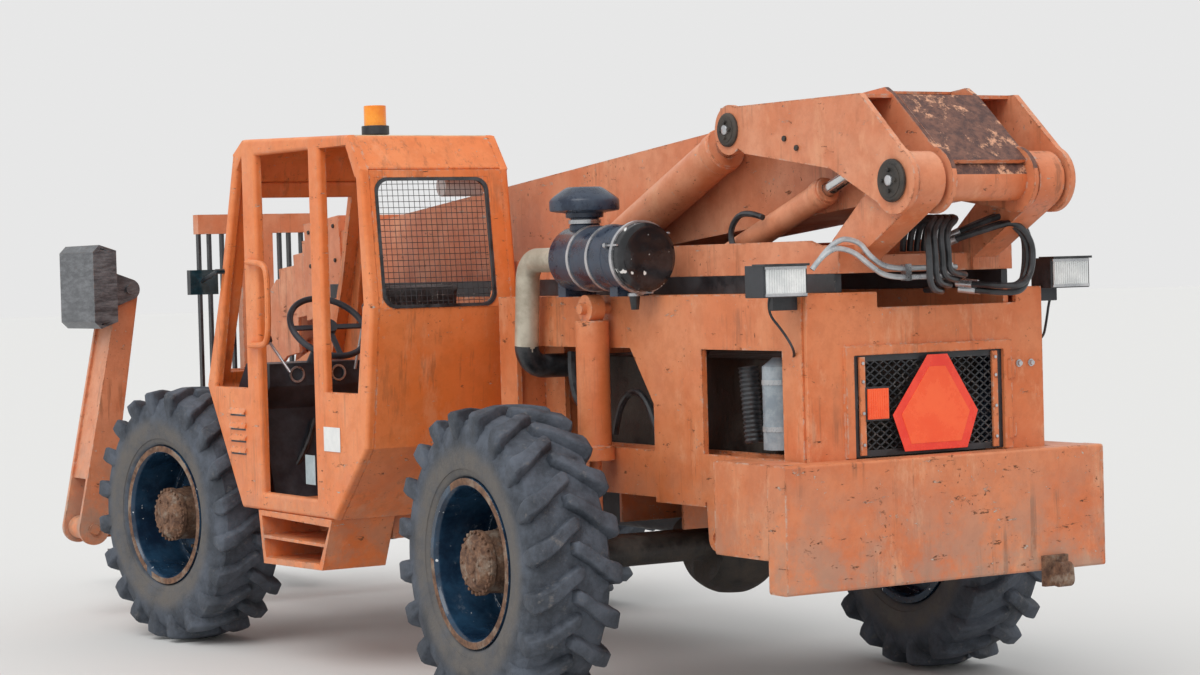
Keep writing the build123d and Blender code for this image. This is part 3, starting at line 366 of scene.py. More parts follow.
# Each finish: its maker and what that takes. A paint with fading and painted light takes its fresh colour, its pale
# colour for chalky fading and painted light, wear and grime. A plain finish takes its dull and lit colours,
# roughness, metallic and relief.
recipes = {
    "cab_orange": (faded_and_lit_paint, (0.74, 0.172, 0.034), (0.80, 0.285, 0.110), 0.7, 0.6),
    "boom_orange": (faded_and_lit_paint, (0.60, 0.160, 0.056), (0.72, 0.330, 0.190), 0.9, 0.9),
    "frame_orange": (faded_and_lit_paint, (0.63, 0.150, 0.040), (0.73, 0.285, 0.130), 0.8, 0.9),
    "weight_orange": (faded_and_lit_paint, (0.60, 0.155, 0.050), (0.70, 0.275, 0.130), 1.4, 1.0),
    "navy_enamel": (plain_finish, (0.010, 0.018, 0.038), (0.040, 0.058, 0.090), 0.28),
    "clamp_steel": (plain_finish, (0.42, 0.43, 0.45), (0.62, 0.62, 0.63), 0.34, 0.85, 0.0006),
    "lens_white": (plain_finish, (0.66, 0.68, 0.68), (0.82, 0.83, 0.82), 0.14, 0.0, 0.0004),
    "beacon_amber": (plain_finish, (0.86, 0.22, 0.012), (0.95, 0.34, 0.030), 0.14, 0.0, 0.0004),
    "reflector_red": (plain_finish, (0.80, 0.035, 0.015), (0.88, 0.060, 0.025), 0.20, 0.0, 0.0003),
    "reflector_orange": (plain_finish, (0.90, 0.090, 0.018), (0.95, 0.125, 0.030), 0.24, 0.0, 0.0003),
    "blank_plate": (plain_finish, (0.70, 0.71, 0.70), (0.80, 0.80, 0.78), 0.36, 0.0, 0.0003),
    "grey_plate": (plain_finish, (0.30, 0.36, 0.38), (0.44, 0.50, 0.52), 0.38, 0.2, 0.0003),
    "roof_lining": (plain_finish, (0.48, 0.34, 0.21), (0.68, 0.52, 0.36), 0.70, 0.0, 0.004),
    "hose_black": (plain_finish, (0.010, 0.011, 0.013), (0.050, 0.053, 0.058), 0.36, 0.0, 0.0012),
    "pipe_grey": (plain_finish, (0.36, 0.38, 0.40), (0.52, 0.54, 0.55), 0.32, 0.35, 0.0008),
    "tank_grey": (plain_finish, (0.22, 0.27, 0.31), (0.38, 0.43, 0.46), 0.42, 0.0, 0.001),
    "mirror_glass": (plain_finish, (0.020, 0.060, 0.080), (0.060, 0.14, 0.19), 0.10, 0.6, 0.0002),
    "cap_enamel": (peeling_cap,), "rim_blue": (blue_rim,), "rusty_iron": (flaking_rust,),
    "rusted_plate": (rust_through_paint,), "dark_iron": (oily_iron,), "black_paint": (black_enamel,),
    "polished_rod": (chrome,), "bare_steel": (scraped_steel,), "moulded_plastic": (grained_plastic,),
    "worn_vinyl": (creased_vinyl,), "pale_pipe": (beige_enamel,)}
finishes = {}


def finish_of(name):
    """The named finish, made when it is first asked for."""
    if name not in finishes:
        maker, *values = recipes[name]
        finishes[name] = maker(name, *values)
    return finishes[name]


# Meshes

def mesh_from(name, shape):
    """Turns a bmesh into a mesh and frees it."""
    mesh = bpy.data.meshes.new(name)
    shape.to_mesh(mesh)
    shape.free()
    return mesh


def stand(name, data):
    """An object with this data, in the scene."""
    thing = bpy.data.objects.new(name, data)
    bpy.context.scene.collection.objects.link(thing)
    return thing


def evaluated(thing):
    """A plain mesh of an object with its modifiers."""
    graph = bpy.context.evaluated_depsgraph_get()
    return bpy.data.meshes.new_from_object(thing.evaluated_get(graph), depsgraph=graph)


def settle(thing):
    """Turns an object with its modifiers into a plain mesh."""
    plain = evaluated(thing)
    old = thing.data
    thing.modifiers.clear()
    thing.data = plain
    plain.name = thing.name
    bpy.data.meshes.remove(old)


def round_corners(thing, width, steps, corner):
    """Adds a bevel to corners sharper than an angle in degrees."""
    bevel = thing.modifiers.new("corners", "BEVEL")
    bevel.width = width
    bevel.segments = steps
    bevel.angle_limit = math.radians(corner)
    return bevel


def round_about(way, sides):
    """A direction's unit vector, and unit vectors all round it."""
    way = Vector(way).normalized()
    across = way.orthogonal().normalized()
    up = way.cross(across)
    turns = [2 * math.pi * i / sides for i in range(sides)]
    return way, [across * math.cos(angle) + up * math.sin(angle) for angle in turns]


class Piece:
    """A mesh being built in the drawing frame. Faces added take the current paint number."""

    def __init__(self, name, *finishes):
        self.name = name
        self.finishes = finishes
        self.shape = bmesh.new()
        self.paint = 0

    def take(self, node, choose=None, joined=True):
        """Adds a merged copy of a frame node. choose gives a face's paint from its middle and its normal."""
        merged = bmesh.new()
        merged.from_mesh(frame["nodes"][node].data)
        bmesh.ops.remove_doubles(merged, verts=merged.verts, dist=1e-5)
        if joined:
            bmesh.ops.dissolve_limit(merged, angle_limit=math.radians(0.6), verts=merged.verts, edges=merged.edges)
        for face in merged.faces:
            face.material_index = choose(face.calc_center_median() - origin, face.normal) if choose else 0
        copy = mesh_from("copy", merged)
        self.shape.from_mesh(copy)
        bpy.data.meshes.remove(copy)
        return self

    def add_mesh(self, mesh):
        """Adds a mesh in the current paint, and removes it."""
        for polygon in mesh.polygons:
            polygon.material_index = self.paint
        self.shape.from_mesh(mesh)
        bpy.data.meshes.remove(mesh)

    def lay(self, layout, place, **values):
        """Adds what a layout makes with these sizes, moved to its place in the drawing frame."""
        holder = stand("layout", bpy.data.meshes.new("layout"))
        modifier = holder.modifiers.new("layout", "NODES")
        modifier.node_group = layout.tree
        for key, value in values.items():
            modifier[layout.sockets[key]] = value
        made = evaluated(holder)
        made.transform(Matrix.Translation(origin) @ place)
        self.add_mesh(made)
        bpy.data.objects.remove(holder)

    def box(self, x0, x1, y0, y1, z0, z1):
        points = [self.shape.verts.new(spot(x, y, z)) for x in (x0, x1) for y in (y0, y1) for z in (z0, z1)]
        for face in ((0, 1, 3, 2), (4, 6, 7, 5), (0, 4, 5, 1), (2, 3, 7, 6), (0, 2, 6, 4), (1, 5, 7, 3)):
            self.shape.faces.new([points[i] for i in face]).material_index = self.paint

    def loft(self, rings, closed_ends=True):
        """Faces between rings of as many points each. closed_ends caps the first and the last."""
        rows = [[self.shape.verts.new(spot(*point)) for point in ring] for ring in rings]
        count = len(rows[0])
        faces = [(near[i], near[(i + 1) % count], far[(i + 1) % count], far[i])
                 for near, far in zip(rows, rows[1:]) for i in range(count)]
        if closed_ends:
            faces += [rows[0][::-1], rows[-1]]
        for face in faces:
            self.shape.faces.new(face).material_index = self.paint

    def bar(self, start, end, radius, far_radius=None, sides=24):
        """A round bar, or a cone, between two points."""
        way, all_round = round_about(Vector(end) - Vector(start), sides)
        self.loft([[Vector(centre) + out * size for out in all_round]
                   for centre, size in ((start, radius), (end, radius if far_radius is None else far_radius))])

    def turned(self, profile, centre, way=(0, 1, 0), sides=64):
        """A closed ring turned about a line: pairs of distance along it and radius."""
        way, all_round = round_about(way, sides)
        rings = [[Vector(centre) + way * along + out * radius for along, radius in profile] for out in all_round]
        self.loft([*rings, rings[0]], False)

    def tube(self, points, radius, sides=12):
        """A round tube along a smooth curve through a few guide points."""
        line = bpy.data.curves.new("line", "CURVE")
        line.dimensions = "3D"
        line.bevel_depth = radius
        line.bevel_resolution = max(1, sides // 4 - 1)
        line.use_fill_caps = True
        line.resolution_u = 10
        spline = line.splines.new("NURBS")
        spline.points.add(len(points) - 1)
        for point, place in zip(spline.points, points):
            point.co = (*spot(*place), 1.0)
        spline.order_u = 3
        spline.use_endpoint_u = True
        holder = bpy.data.objects.new("line", line)
        self.add_mesh(bpy.data.meshes.new_from_object(holder))
        bpy.data.objects.remove(holder)
        bpy.data.curves.remove(line)

    def done(self, body, round_by=0.0, steps=2, corner=32.0, replaces=(), slot=None, share=None):
        """Makes the object: welded, corners rounded, smooth where the shape is, riding on its body.

        share gives the part of round_by that an edge gets, from its middle and its direction."""
        bmesh.ops.remove_doubles(self.shape, verts=self.shape.verts, dist=2e-6)
        bmesh.ops.recalc_face_normals(self.shape, faces=self.shape.faces)
        if share:
            weights = self.shape.edges.layers.float.new("bevel_weight_edge")
            for edge in self.shape.edges:
                if edge.calc_face_angle(0.0) > math.radians(12):
                    start, end = (vert.co - origin for vert in edge.verts)
                    edge[weights] = share((start + end) / 2, (end - start).normalized())
        mesh = mesh_from(self.name, self.shape)
        for name in self.finishes:
            mesh.materials.append(finish_of(name))
        thing = stand(self.name, mesh)
        if round_by:
            bevel = round_corners(thing, round_by, steps, corner)
            bevel.limit_method = "WEIGHT" if share else "ANGLE"
            bevel.miter_outer = "MITER_ARC"
            settle(thing)
        for polygon in thing.data.polygons:
            polygon.use_smooth = True
        thing.data.set_sharp_from_angle(angle=math.radians(corner))
        if round_by:
            thing.modifiers.new("shading", "WEIGHTED_NORMAL").keep_sharp = True
            settle(thing)
        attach(thing, body)
        if replaces:
            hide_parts(*replaces)


def skin(nodes, finish, slot, round_by=0.004, choose=None, steps=2, share=None, joined=True):
    """Frame nodes shown as they are made: corners rounded, and painted with one finish or a few."""
    for node in nodes.split():
        piece = Piece(f"{node}_skin", *finish.split()).take(node, choose, joined)
        piece.done(frame["nodes"][node]["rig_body"], round_by, steps, replaces=(node,), slot=slot, share=share)


# Layouts

class Layout(Tree):
    """A Geometry Nodes tree for parts that repeat, with its sizes as named inputs."""

    kinds = {int: "NodeSocketInt", float: "NodeSocketFloat", type(None): "NodeSocketObject"}

    def __init__(self, name, **sizes):
        super().__init__(bpy.data.node_groups.new(name, "GeometryNodeTree"))
        self.tree.is_modifier = True
        self.order = list(sizes)
        self.sockets = {}
        for key, value in sizes.items():
            socket = self.tree.interface.new_socket(
                name=key.replace("_", " ").capitalize(), in_out="INPUT", socket_type=self.kinds[type(value)])
            if value is not None:
                socket.default_value = value
            self.sockets[key] = socket.identifier
        self.tree.interface.new_socket(name="Shape", in_out="OUTPUT", socket_type="NodeSocketGeometry")
        self.given = self.tree.nodes.new("NodeGroupInput")

    def feed(self, node, feeds):
        """A word stands for the layout's size of that name."""
        return super().feed(node, {
            name: self.given.outputs[self.order.index(value)] if isinstance(value, str) else value
            for name, value in feeds.items()})

    def out(self, kind, **feeds):
        """The first output of a geometry node."""
        named = {key.replace("_", " "): value for key, value in feeds.items()}
        return self.add(f"GeometryNode{kind}", named).outputs[0]

    def vector(self, **parts):
        return self.add("ShaderNodeCombineXYZ", parts).outputs[0]

    def turn(self, **angles):
        return self.add("FunctionNodeEulerToRotation", {"Euler": self.vector(**angles)}).outputs[0]

    def repeat(self, finish, **feeds):
        """Puts a shape on each point, makes it real and paints it."""
        spread = self.out("InstanceOnPoints", **feeds)
        painted = self.out("SetMaterial", Geometry=self.out("RealizeInstances", Geometry=spread),
                           Material=finish_of(finish))
        self.tree.links.new(painted, self.tree.nodes.new("NodeGroupOutput").inputs[0])
        return self


def bolt_ring(finish):
    """Bolt heads round a circle, standing along Z."""
    layout = Layout("bolt_ring", count=12, ring_radius=0.1, sides=6, head_radius=0.01, head_height=0.01)
    return layout.repeat(finish, Points=layout.out("MeshCircle", Vertices="count", Radius="ring_radius"),
                         Instance=layout.out("MeshCylinder", Vertices="sides", Radius="head_radius",
                                             Depth="head_height"))


def wire_lattice(finish):
    """A flat lattice: two crossed bars in each cell of a grid."""
    layout = Layout("wire_lattice", width=1.0, height=1.0, columns=10, rows=10, bar_length=0.1, bar_radius=0.002,
                    first_angle=0.0, second_angle=1.5708)
    bar = layout.out("MeshCylinder", Vertices=6, Radius="bar_radius", Depth="bar_length")
    flat = layout.out("Transform", Geometry=bar, Rotation=(math.pi / 2, 0, 0))
    both = layout.add("GeometryNodeJoinGeometry")
    for angle in ("first_angle", "second_angle"):
        layout.tree.links.new(layout.out("Transform", Geometry=flat, Rotation=layout.turn(Z=angle)), both.inputs[0])
    grid = layout.out("MeshGrid", Size_X="width", Size_Y="height", Vertices_X="columns", Vertices_Y="rows")
    return layout.repeat(finish, Points=grid, Instance=both.outputs[0])


def slat_row(finish):
    """Equal blocks in a row along X."""
    layout = Layout("slat_row", count=10, pitch=0.1, slat_x=0.05, slat_y=0.05, slat_z=0.05)
    line = layout.out("MeshLine", Count="count", Offset=layout.vector(X="pitch"))
    slat = layout.out("MeshCube", Size=layout.vector(X="slat_x", Y="slat_y", Z="slat_z"))
    return layout.repeat(finish, Points=line, Instance=slat)


def lug_ring(finish):
    """Copies of one lug, turned about Y at equal steps."""
    layout = Layout("lug_ring", lug=None, count=20, turn=0.0)
    source = layout.add("GeometryNodeObjectInfo", {"Object": "lug"})
    number = layout.add("GeometryNodeInputIndex")
    share = layout.maths("DIVIDE", layout.plus(number.outputs[0], "turn"), "count")
    return layout.repeat(finish, Points=layout.out("Points", Count="count"), Instance=source.outputs["Geometry"],
                         Rotation=layout.turn(Y=layout.times(share, 2 * math.pi)))


def aimed(centre, way):
    """Places a layout with its Z along a direction, at a point of the drawing frame."""
    return Matrix.Translation(Vector(centre)) @ Vector(way).to_track_quat("Z", "Y").to_matrix().to_4x4()


def facing_back(x, y, z, lean=0.0):
    """Places a flat layout upright across the truck: its X to the left and its Y up."""
    turn = Matrix(((0, 0, 1), (1, 0, 0), (0, 1, 0))).to_4x4()
    return Matrix.Translation((x, y, z)) @ Matrix.Rotation(lean, 4, "Y") @ turn


# Settings

class StageSettings(bpy.types.PropertyGroup):
    floor_colour: FloatVectorProperty(
        name="Floor colour", description="Colour of the plain floor", subtype="COLOR",
        default=(0.655, 0.655, 0.645), min=0.0, max=1.0)
    sky_level: FloatProperty(name="Sky level", description="Strength of the even light from all round", default=0.93)
    sun_level: FloatProperty(name="Sun level", description="Strength of the soft light from the left", default=1.25)
    lens: FloatProperty(name="Lens", description="Camera lens in millimetres on a 36 mm sensor", default=83.307)


class TyreSettings(bpy.types.PropertyGroup):
    lug_count: IntProperty(name="Lugs", description="Lugs on each side of a tyre", default=20, min=8, max=40)
    width: FloatProperty(name="Width", description="Tyre width", default=0.396, unit="LENGTH")
    radius: FloatProperty(name="Radius", description="Radius over the lugs", default=0.636, unit="LENGTH")
    groove: FloatProperty(name="Groove", description="Height of a lug at the crown", default=0.036, unit="LENGTH")


# Stage

class FORKLIFT_OT_stage(bpy.types.Operator):
    """Makes the pale floor, the soft light and the camera"""
    bl_idname = "forklift.stage"
    bl_label = "Stage"

    camera_spot = (-9.84, 6.646, 1.817)
    camera_turns = (31.46, -1.431, -1.539)

    def execute(self, context):
        settings = context.scene.forklift_stage
        self.make_floor(settings)
        self.make_light(settings)
        self.make_camera(settings)
        return {"FINISHED"}

    def make_floor(self, settings):
        finish = Finish("floor")
        grain = finish.patches((3.0, 4, 0.6), 0.3, 0.7, 0.0, 0.035)
        finish.done(finish.blend(grain, tuple(settings.floor_colour), (0.60, 0.60, 0.59)), 0.9)
        shape = bmesh.new()
        bmesh.ops.create_circle(shape, cap_ends=True, segments=96, radius=140.0)
        floor = stand("floor", mesh_from("floor", shape))
        floor.data.materials.append(finish.material)
        floor.location.z = -0.001

    def make_light(self, settings):
        world = bpy.data.worlds.new("soft_light")
        world.use_nodes = True
        sky = Tree(world.node_tree)
        nodes = world.node_tree.nodes
        around = sky.feed(nodes["Background"], {"Color": (1.0, 1.0, 1.0), "Strength": settings.sky_level})
        seen = sky.add("ShaderNodeBackground", {"Color": (0.80, 0.80, 0.80), "Strength": 1.0})
        rays = sky.add("ShaderNodeLightPath").outputs
        backdrop = sky.most(sky.most(rays["Is Camera Ray"], rays["Is Transmission Ray"]), rays["Is Glossy Ray"])
        choose = sky.add("ShaderNodeMixShader", {0: backdrop, 1: around.outputs[0], 2: seen.outputs[0]})
        sky.feed(nodes["World Output"], {"Surface": choose.outputs[0]})
        bpy.context.scene.world = world
        sun = stand("soft_sun", bpy.data.lights.new("soft_sun", "SUN"))
        sun.data.energy = settings.sun_level
        sun.data.angle = math.radians(38)
        sun.rotation_euler = Vector((-0.42, 0.62, 0.86)).to_track_quat("Z", "Y").to_euler()

    def make_camera(self, settings):
        camera = stand("camera", bpy.data.cameras.new("camera"))
        camera.data.lens = settings.lens
        camera.data.sensor_width = 36.0
        camera.data.clip_end = 400.0
        yaw, pitch, roll = (math.radians(turn) for turn in self.camera_turns)
        ahead = Vector((math.cos(yaw) * math.cos(pitch), -math.sin(yaw) * math.cos(pitch), math.sin(pitch)))
        right = Vector((-math.sin(yaw), -math.cos(yaw), 0.0))
        up = right.cross(ahead)
        side = right * math.cos(roll) + up * math.sin(roll)
        top = up * math.cos(roll) - right * math.sin(roll)
        turn = Matrix((side, top, -ahead)).transposed().to_4x4()
        camera.matrix_world = Matrix.Translation(spot(*self.camera_spot)) @ turn
        bpy.context.scene.camera = camera
        bpy.context.scene.view_settings.view_transform = "Standard"


# Chassis

class FORKLIFT_OT_chassis(bpy.types.Operator):
    """Paints the frame and makes the rear panel's mesh, triangle, reflector and strips"""
    bl_idname = "forklift.chassis"
    bl_label = "Chassis"

    def execute(self, context):
        skin("frame_left frame_right frame_members rear_panel", "frame_orange", "orange_paint", joined=False)
        skin("counterweight", "weight_orange", "weight_paint", 0.008)
        skin("carriage_rails", "black_paint", "black_paint", 0.002)
        skin("fuel_tank", "black_paint", "black_paint")
        self.rear_mesh()
        self.rear_marks()
        return {"FINISHED"}

    def rear_mesh(self):
        """Framed diamond mesh over the radiator."""
        piece = Piece("rear_mesh", "black_paint")
        back, front = -1.389, -1.380
        low, high, half, edge = 1.074, 1.460, 0.363, 0.024
        for z0, z1 in ((low, low + edge), (high - edge, high)):
            piece.box(back, front, -half, half, z0, z1)
        for y0, y1 in ((-half, -half + edge), (half - edge, half)):
            piece.box(back, front, y0, y1, low + edge, high - edge)
        columns, rows = 16, 11
        wide = 2 * (half - edge) / columns
        tall = (high - low - 2 * edge) / rows
        piece.lay(wire_lattice("black_paint"), facing_back(-1.384, 0.0, (low + high) / 2),
                  width=wide * (columns - 1), height=tall * (rows - 1), columns=columns, rows=rows,
                  bar_length=math.hypot(wide, tall), bar_radius=0.0034,
                  first_angle=math.atan2(wide, tall), second_angle=-math.atan2(wide, tall))
        piece.done("root", replaces=("rear_grille",), slot="black_paint")

    def rear_marks(self):
        """Slow-vehicle triangle with its bright border, a square reflector, hatch strips, hinge and bolts."""
        piece = Piece("rear_marks", "reflector_red", "reflector_orange", "frame_orange", "clamp_steel", "black_paint")
        outline = [(-0.075, 1.452), (0.022, 1.452), (0.195, 1.228), (0.140, 1.086), (-0.164, 1.086),
                   (-0.219, 1.228)]
        middle = (-0.012, 1.225)
        panel_face = -1.394
        face = panel_face - 0.020
        for paint, share, near in ((0, 1.0, 0.0), (1, 0.80, 0.0016)):
            piece.paint = paint
            piece.loft([[(x, middle[0] + (y - middle[0]) * share, middle[1] + (z - middle[1]) * share)
                         for y, z in outline] for x in (face, face - near - 0.002)])
        piece.paint = 4
        for y in (-0.10, 0.07):
            piece.bar((face, y, 1.25), (-1.385, y, 1.25), 0.007, sides=12)
        piece.paint = 2
        for y in (-0.322, 0.322):
            piece.box(-1.400, -1.389, y - 0.013, y + 0.013, 1.080, 1.454)
        piece.paint = 4
        piece.box(-1.402, -1.390, 0.200, 0.312, 1.209, 1.339)
        piece.paint = 1
        piece.box(-1.409, -1.402, 0.207, 0.305, 1.216, 1.332)
        piece.lay(slat_row("reflector_orange"), facing_back(-1.4095, 0.214, 1.274),
                  count=9, pitch=0.0105, slat_x=0.006, slat_y=0.108, slat_z=0.002)
        piece.paint = 3
        for y, z in ((-0.448, 1.400), (-0.509, 1.400)):
            piece.bar((-1.392, y, z), (-1.397, y, z), 0.015, sides=24)
            piece.bar((-1.397, y, z), (-1.407, y, z), 0.0105, sides=6)
        for y in (-0.322, 0.322):
            for z in (1.12, 1.24, 1.36, 1.43):
                piece.bar((-1.400, y, z), (-1.406, y, z), 0.007, sides=6)
        piece.paint = 2
        for z in (1.15, 1.38):
            piece.bar((-1.404, -0.390, z - 0.04), (-1.404, -0.390, z + 0.04), 0.010, sides=16)
            piece.box(-1.400, -1.394, -0.425, -0.395, z - 0.036, z + 0.036)
        piece.done("root", 0.0012, slot="orange_paint")


class FORKLIFT_OT_axles(bpy.types.Operator):
    """Finishes the axles, knuckles and upright cylinders, and dresses the engine bay"""
    bl_idname = "forklift.axles"
    bl_label = "Axles"

    def execute(self, context):
        skin("front_axle rear_axle knuckle_front_left knuckle_front_right knuckle_rear_left knuckle_rear_right",
             "dark_iron", "cast_iron")
        skin("axle_cylinders", "frame_orange polished_rod", "orange_paint", 0.003)
        skin("pintle_hitch", "rusty_iron", "cast_iron", 0.003)
        skin("engine_block", "dark_iron", "cast_iron", 0.010)
        skin("radiator", "dark_iron", "black_paint")
        self.engine_dress()
        return {"FINISHED"}

    def engine_dress(self):
        """Tank, ribbed hose, pipes and a panel beside the engine, seen through the frame's windows."""
        piece = Piece("engine_dress", "navy_enamel", "tank_grey", "hose_black", "pipe_grey")
        tank_x, tank_radius = -1.08, 0.072
        for side in (1, -1):
            tank_y = side * 0.475
            piece.paint = 0
            piece.box(-1.270, -1.235, side * 0.46 - 0.09, side * 0.46 + 0.09, 1.09, 1.47)
            piece.paint = 1
            piece.bar((tank_x, tank_y, 1.10), (tank_x, tank_y, 1.42), tank_radius, sides=48)
            piece.bar((tank_x, tank_y, 1.42), (tank_x, tank_y, 1.455), tank_radius, 0.030, sides=48)
            piece.paint = 3
            for z in (1.17, 1.35):
                piece.bar((tank_x, tank_y, z), (tank_x, tank_y, z + 0.020), tank_radius + 0.0025, sides=48)
            piece.paint = 2
            ribs = [(0.009 * i, 0.036 + 0.006 * (i % 2)) for i in range(34)]
            piece.turned([(0.0, 0.020), *ribs, (0.300, 0.020)], (-0.92, side * 0.490, 1.12), (0.12, 0, 1), 32)
            piece.tube([(-0.30, side * 0.50, 1.10), (-0.32, side * 0.53, 1.25), (-0.52, side * 0.53, 1.34),
                        (-0.60, side * 0.50, 1.48)], 0.019)
            piece.tube([(0.10, side * 0.50, 1.12), (0.0, side * 0.53, 1.30), (-0.20, side * 0.52, 1.30),
                        (-0.24, side * 0.50, 1.10)], 0.015)
            piece.tube([(0.42, side * 0.51, 1.46), (0.40, side * 0.53, 1.28), (0.24, side * 0.53, 1.20),
                        (0.16, side * 0.50, 1.09)], 0.022)
        piece.done("root", slot="black_paint")


# Wheels

def wheel_ends():
    """Each wheel: its end, hand and side, and its place, with the outward way along Y and the truck's Z up."""
    ends = []
    for end in ("front", "rear"):
        for hand, side in handed:
            joint = joints[f"wheel_{end}_{hand}"]
            centre = Vector(joint["pos_m"]) - origin
            way = Vector(joint["axis"])
            turn = math.atan2(-way.x, way.y) if way.y > 0 else math.atan2(way.x, -way.y)
            ends.append((end, hand, side, Matrix.Translation(centre) @ Matrix.Rotation(turn, 4, "Z")))
    return ends


def lug_shape(side, settings):
    """One lug at the top of a tyre on the Y axis: nose by the middle, shoulder outwards, buttress down the side."""
    crown = settings.radius
    half = settings.width / 2
    root = crown - settings.groove - 0.010
    # top offset and radius, foot offset and radius, set back, half width
    stations = [
        (-0.016, crown - 0.006, -0.026, root, 0.000, 0.020), (0.004, crown, 0.000, root, 0.004, 0.030),
        (0.045, crown, 0.045, root, 0.030, 0.033), (0.092, crown - 0.002, 0.092, root - 0.004, 0.070, 0.035),
        (0.130, crown - 0.006, 0.130, root - 0.010, 0.094, 0.037),
        (half - 0.020, crown - 0.013, half - 0.040, root - 0.022, 0.112, 0.041),
        (half - 0.003, crown - 0.024, half - 0.046, root - 0.040, 0.120, 0.042),
        (half, crown - 0.055, half - 0.046, root - 0.060, 0.123, 0.041),
        (half - 0.005, crown - 0.100, half - 0.040, root - 0.090, 0.125, 0.034),
        (half - 0.014, crown - 0.142, half - 0.036, root - 0.112, 0.126, 0.024)]
    rows = []
    for top, tip, foot, low, back, wide in stations:
        row = []
        for across, share in ((-1.30, 0.0), (-1.02, 0.84), (-0.80, 1.0), (0.80, 1.0), (1.02, 0.84), (1.30, 0.0)):
            offset = foot + (top - foot) * share
            radius = low + (tip - low) * share
            angle = -(back - wide * across) / crown
            row.append((radius * math.sin(angle), side * offset, radius * math.cos(angle)))
        rows.append(row)
    return rows


class FORKLIFT_OT_wheels(bpy.types.Operator):
    """Makes the lugged tyres, and the rims with their hubs, nuts and bolts"""
    bl_idname = "forklift.wheels"
    bl_label = "Wheels"

    def execute(self, context):
        settings = context.scene.forklift_tyres
        for end, hand, side, place in wheel_ends():
            self.make_tyre(f"{end}_{hand}", place, settings)
            self.make_rim(f"{end}_{hand}", side, place)
        return {"FINISHED"}

    def make_tyre(self, wheel, place, settings):
        finish = f"rubber_{wheel}"
        recipes[finish] = (rubber, tuple(spot(*place.translation)))
        piece = Piece(f"tyre_{wheel}_lugged", finish)
        half = settings.width / 2
        crown = settings.radius - settings.groove
        bead_y, inner_radius = 0.1495, 0.318
        wall = [(bead_y, 0.3495), (0.160, 0.351), (0.168, 0.358), (0.173, 0.372), (0.177, 0.384), (0.181, 0.386),
                (half - 0.013, 0.410), (half - 0.010, 0.450), (half - 0.012, 0.500), (half - 0.022, 0.545),
                (half - 0.045, crown - 0.022), (half - 0.090, crown - 0.009), (0.050, crown - 0.002)]
        profile = [(bead_y, inner_radius), *wall, *[(-y, r) for y, r in reversed(wall)], (-bead_y, inner_radius)]
        piece.turned(profile, place.translation, place.to_3x3() @ Vector((0, 1, 0)), 120)
        ring = lug_ring(finish)
        for row_side, turn in ((1, 0.0), (-1, 0.5)):
            lug = Piece("lug")
            lug.loft([[Vector(point) - origin for point in row] for row in lug_shape(row_side, settings)])
            model = stand("lug", mesh_from("lug", lug.shape))
            round_corners(model, 0.005, 2, 28)
            settle(model)
            piece.lay(ring, place, lug=model, count=settings.lug_count, turn=turn)
            bpy.data.objects.remove(model)
        piece.done(f"wheel_{wheel}", corner=38.0, replaces=(f"tyre_{wheel}",), slot="tyre")

    def make_rim(self, wheel, side, place):
        inwards = place.inverted()

        def hub_choice(middle, normal):
            local = inwards @ middle
            return 1 if math.hypot(local.x, local.z) < 0.150 and side * local.y > -0.060 else 0

        skin(f"rim_{wheel}", "rim_blue rusty_iron", "rim_paint", 0.003, hub_choice)
        piece = Piece(f"rim_{wheel}_hub", "rusty_iron", "clamp_steel", "rim_blue")
        outward = place.to_3x3() @ Vector((0, side, 0))
        centre = place.translation
        ring = bolt_ring("rusty_iron")

        def bolts(out, count, ring_radius, sides, head_radius, head_height):
            piece.lay(ring, aimed(centre + outward * out, outward), count=count, ring_radius=ring_radius, sides=sides,
                      head_radius=head_radius, head_height=head_height)

        piece.turned([(0.112, 0.100), (0.112, 0.133), (0.134, 0.133), (0.134, 0.100)], centre, outward, 72)
        bolts(0.138, 24, 0.126, 6, 0.0085, 0.014)
        bolts(-0.056, 10, 0.184, 6, 0.0175, 0.030)
        bolts(-0.044, 10, 0.184, 12, 0.0085, 0.046)
        piece.turned([(0.160, 0.0), (0.160, 0.046), (0.170, 0.042), (0.176, 0.0)], centre, outward, 48)
        bolts(0.166, 6, 0.074, 6, 0.008, 0.012)
        piece.paint = 2
        piece.turned([(-0.072, 0.250), (-0.060, 0.262), (-0.048, 0.262), (-0.040, 0.250)], centre, outward, 96)
        piece.done(f"wheel_{wheel}", 0.0015, 1, slot="cast_iron")


# Cab

# The cab's rear wall above its sill: the sill's X and Z, and how far the wall rises and leans forwards.
sill_x, sill_z = 0.994, 1.670
wall_rise, wall_lean = 0.604, 0.067


def cab_back_x(z):
    """Outer face of the cab's rear wall at a height."""
    return sill_x + (z - sill_z) / wall_rise * wall_lean


def side_rounding(middle, direction):
    """Outer edges of a cab side are well rounded, and inner ones slightly."""
    return 1.0 if middle.y > 1.178 or middle.y < 0.440 else 0.2


def shell_rounding(middle, direction):
    """The folds of the cab's rear, roof and front run across it and are well rounded."""
    return 1.0 if abs(direction.y) > 0.99 else 0.12


def roof_choice(middle, normal):
    return 1 if normal.z > 0.55 and middle.z > 2.42 else 0


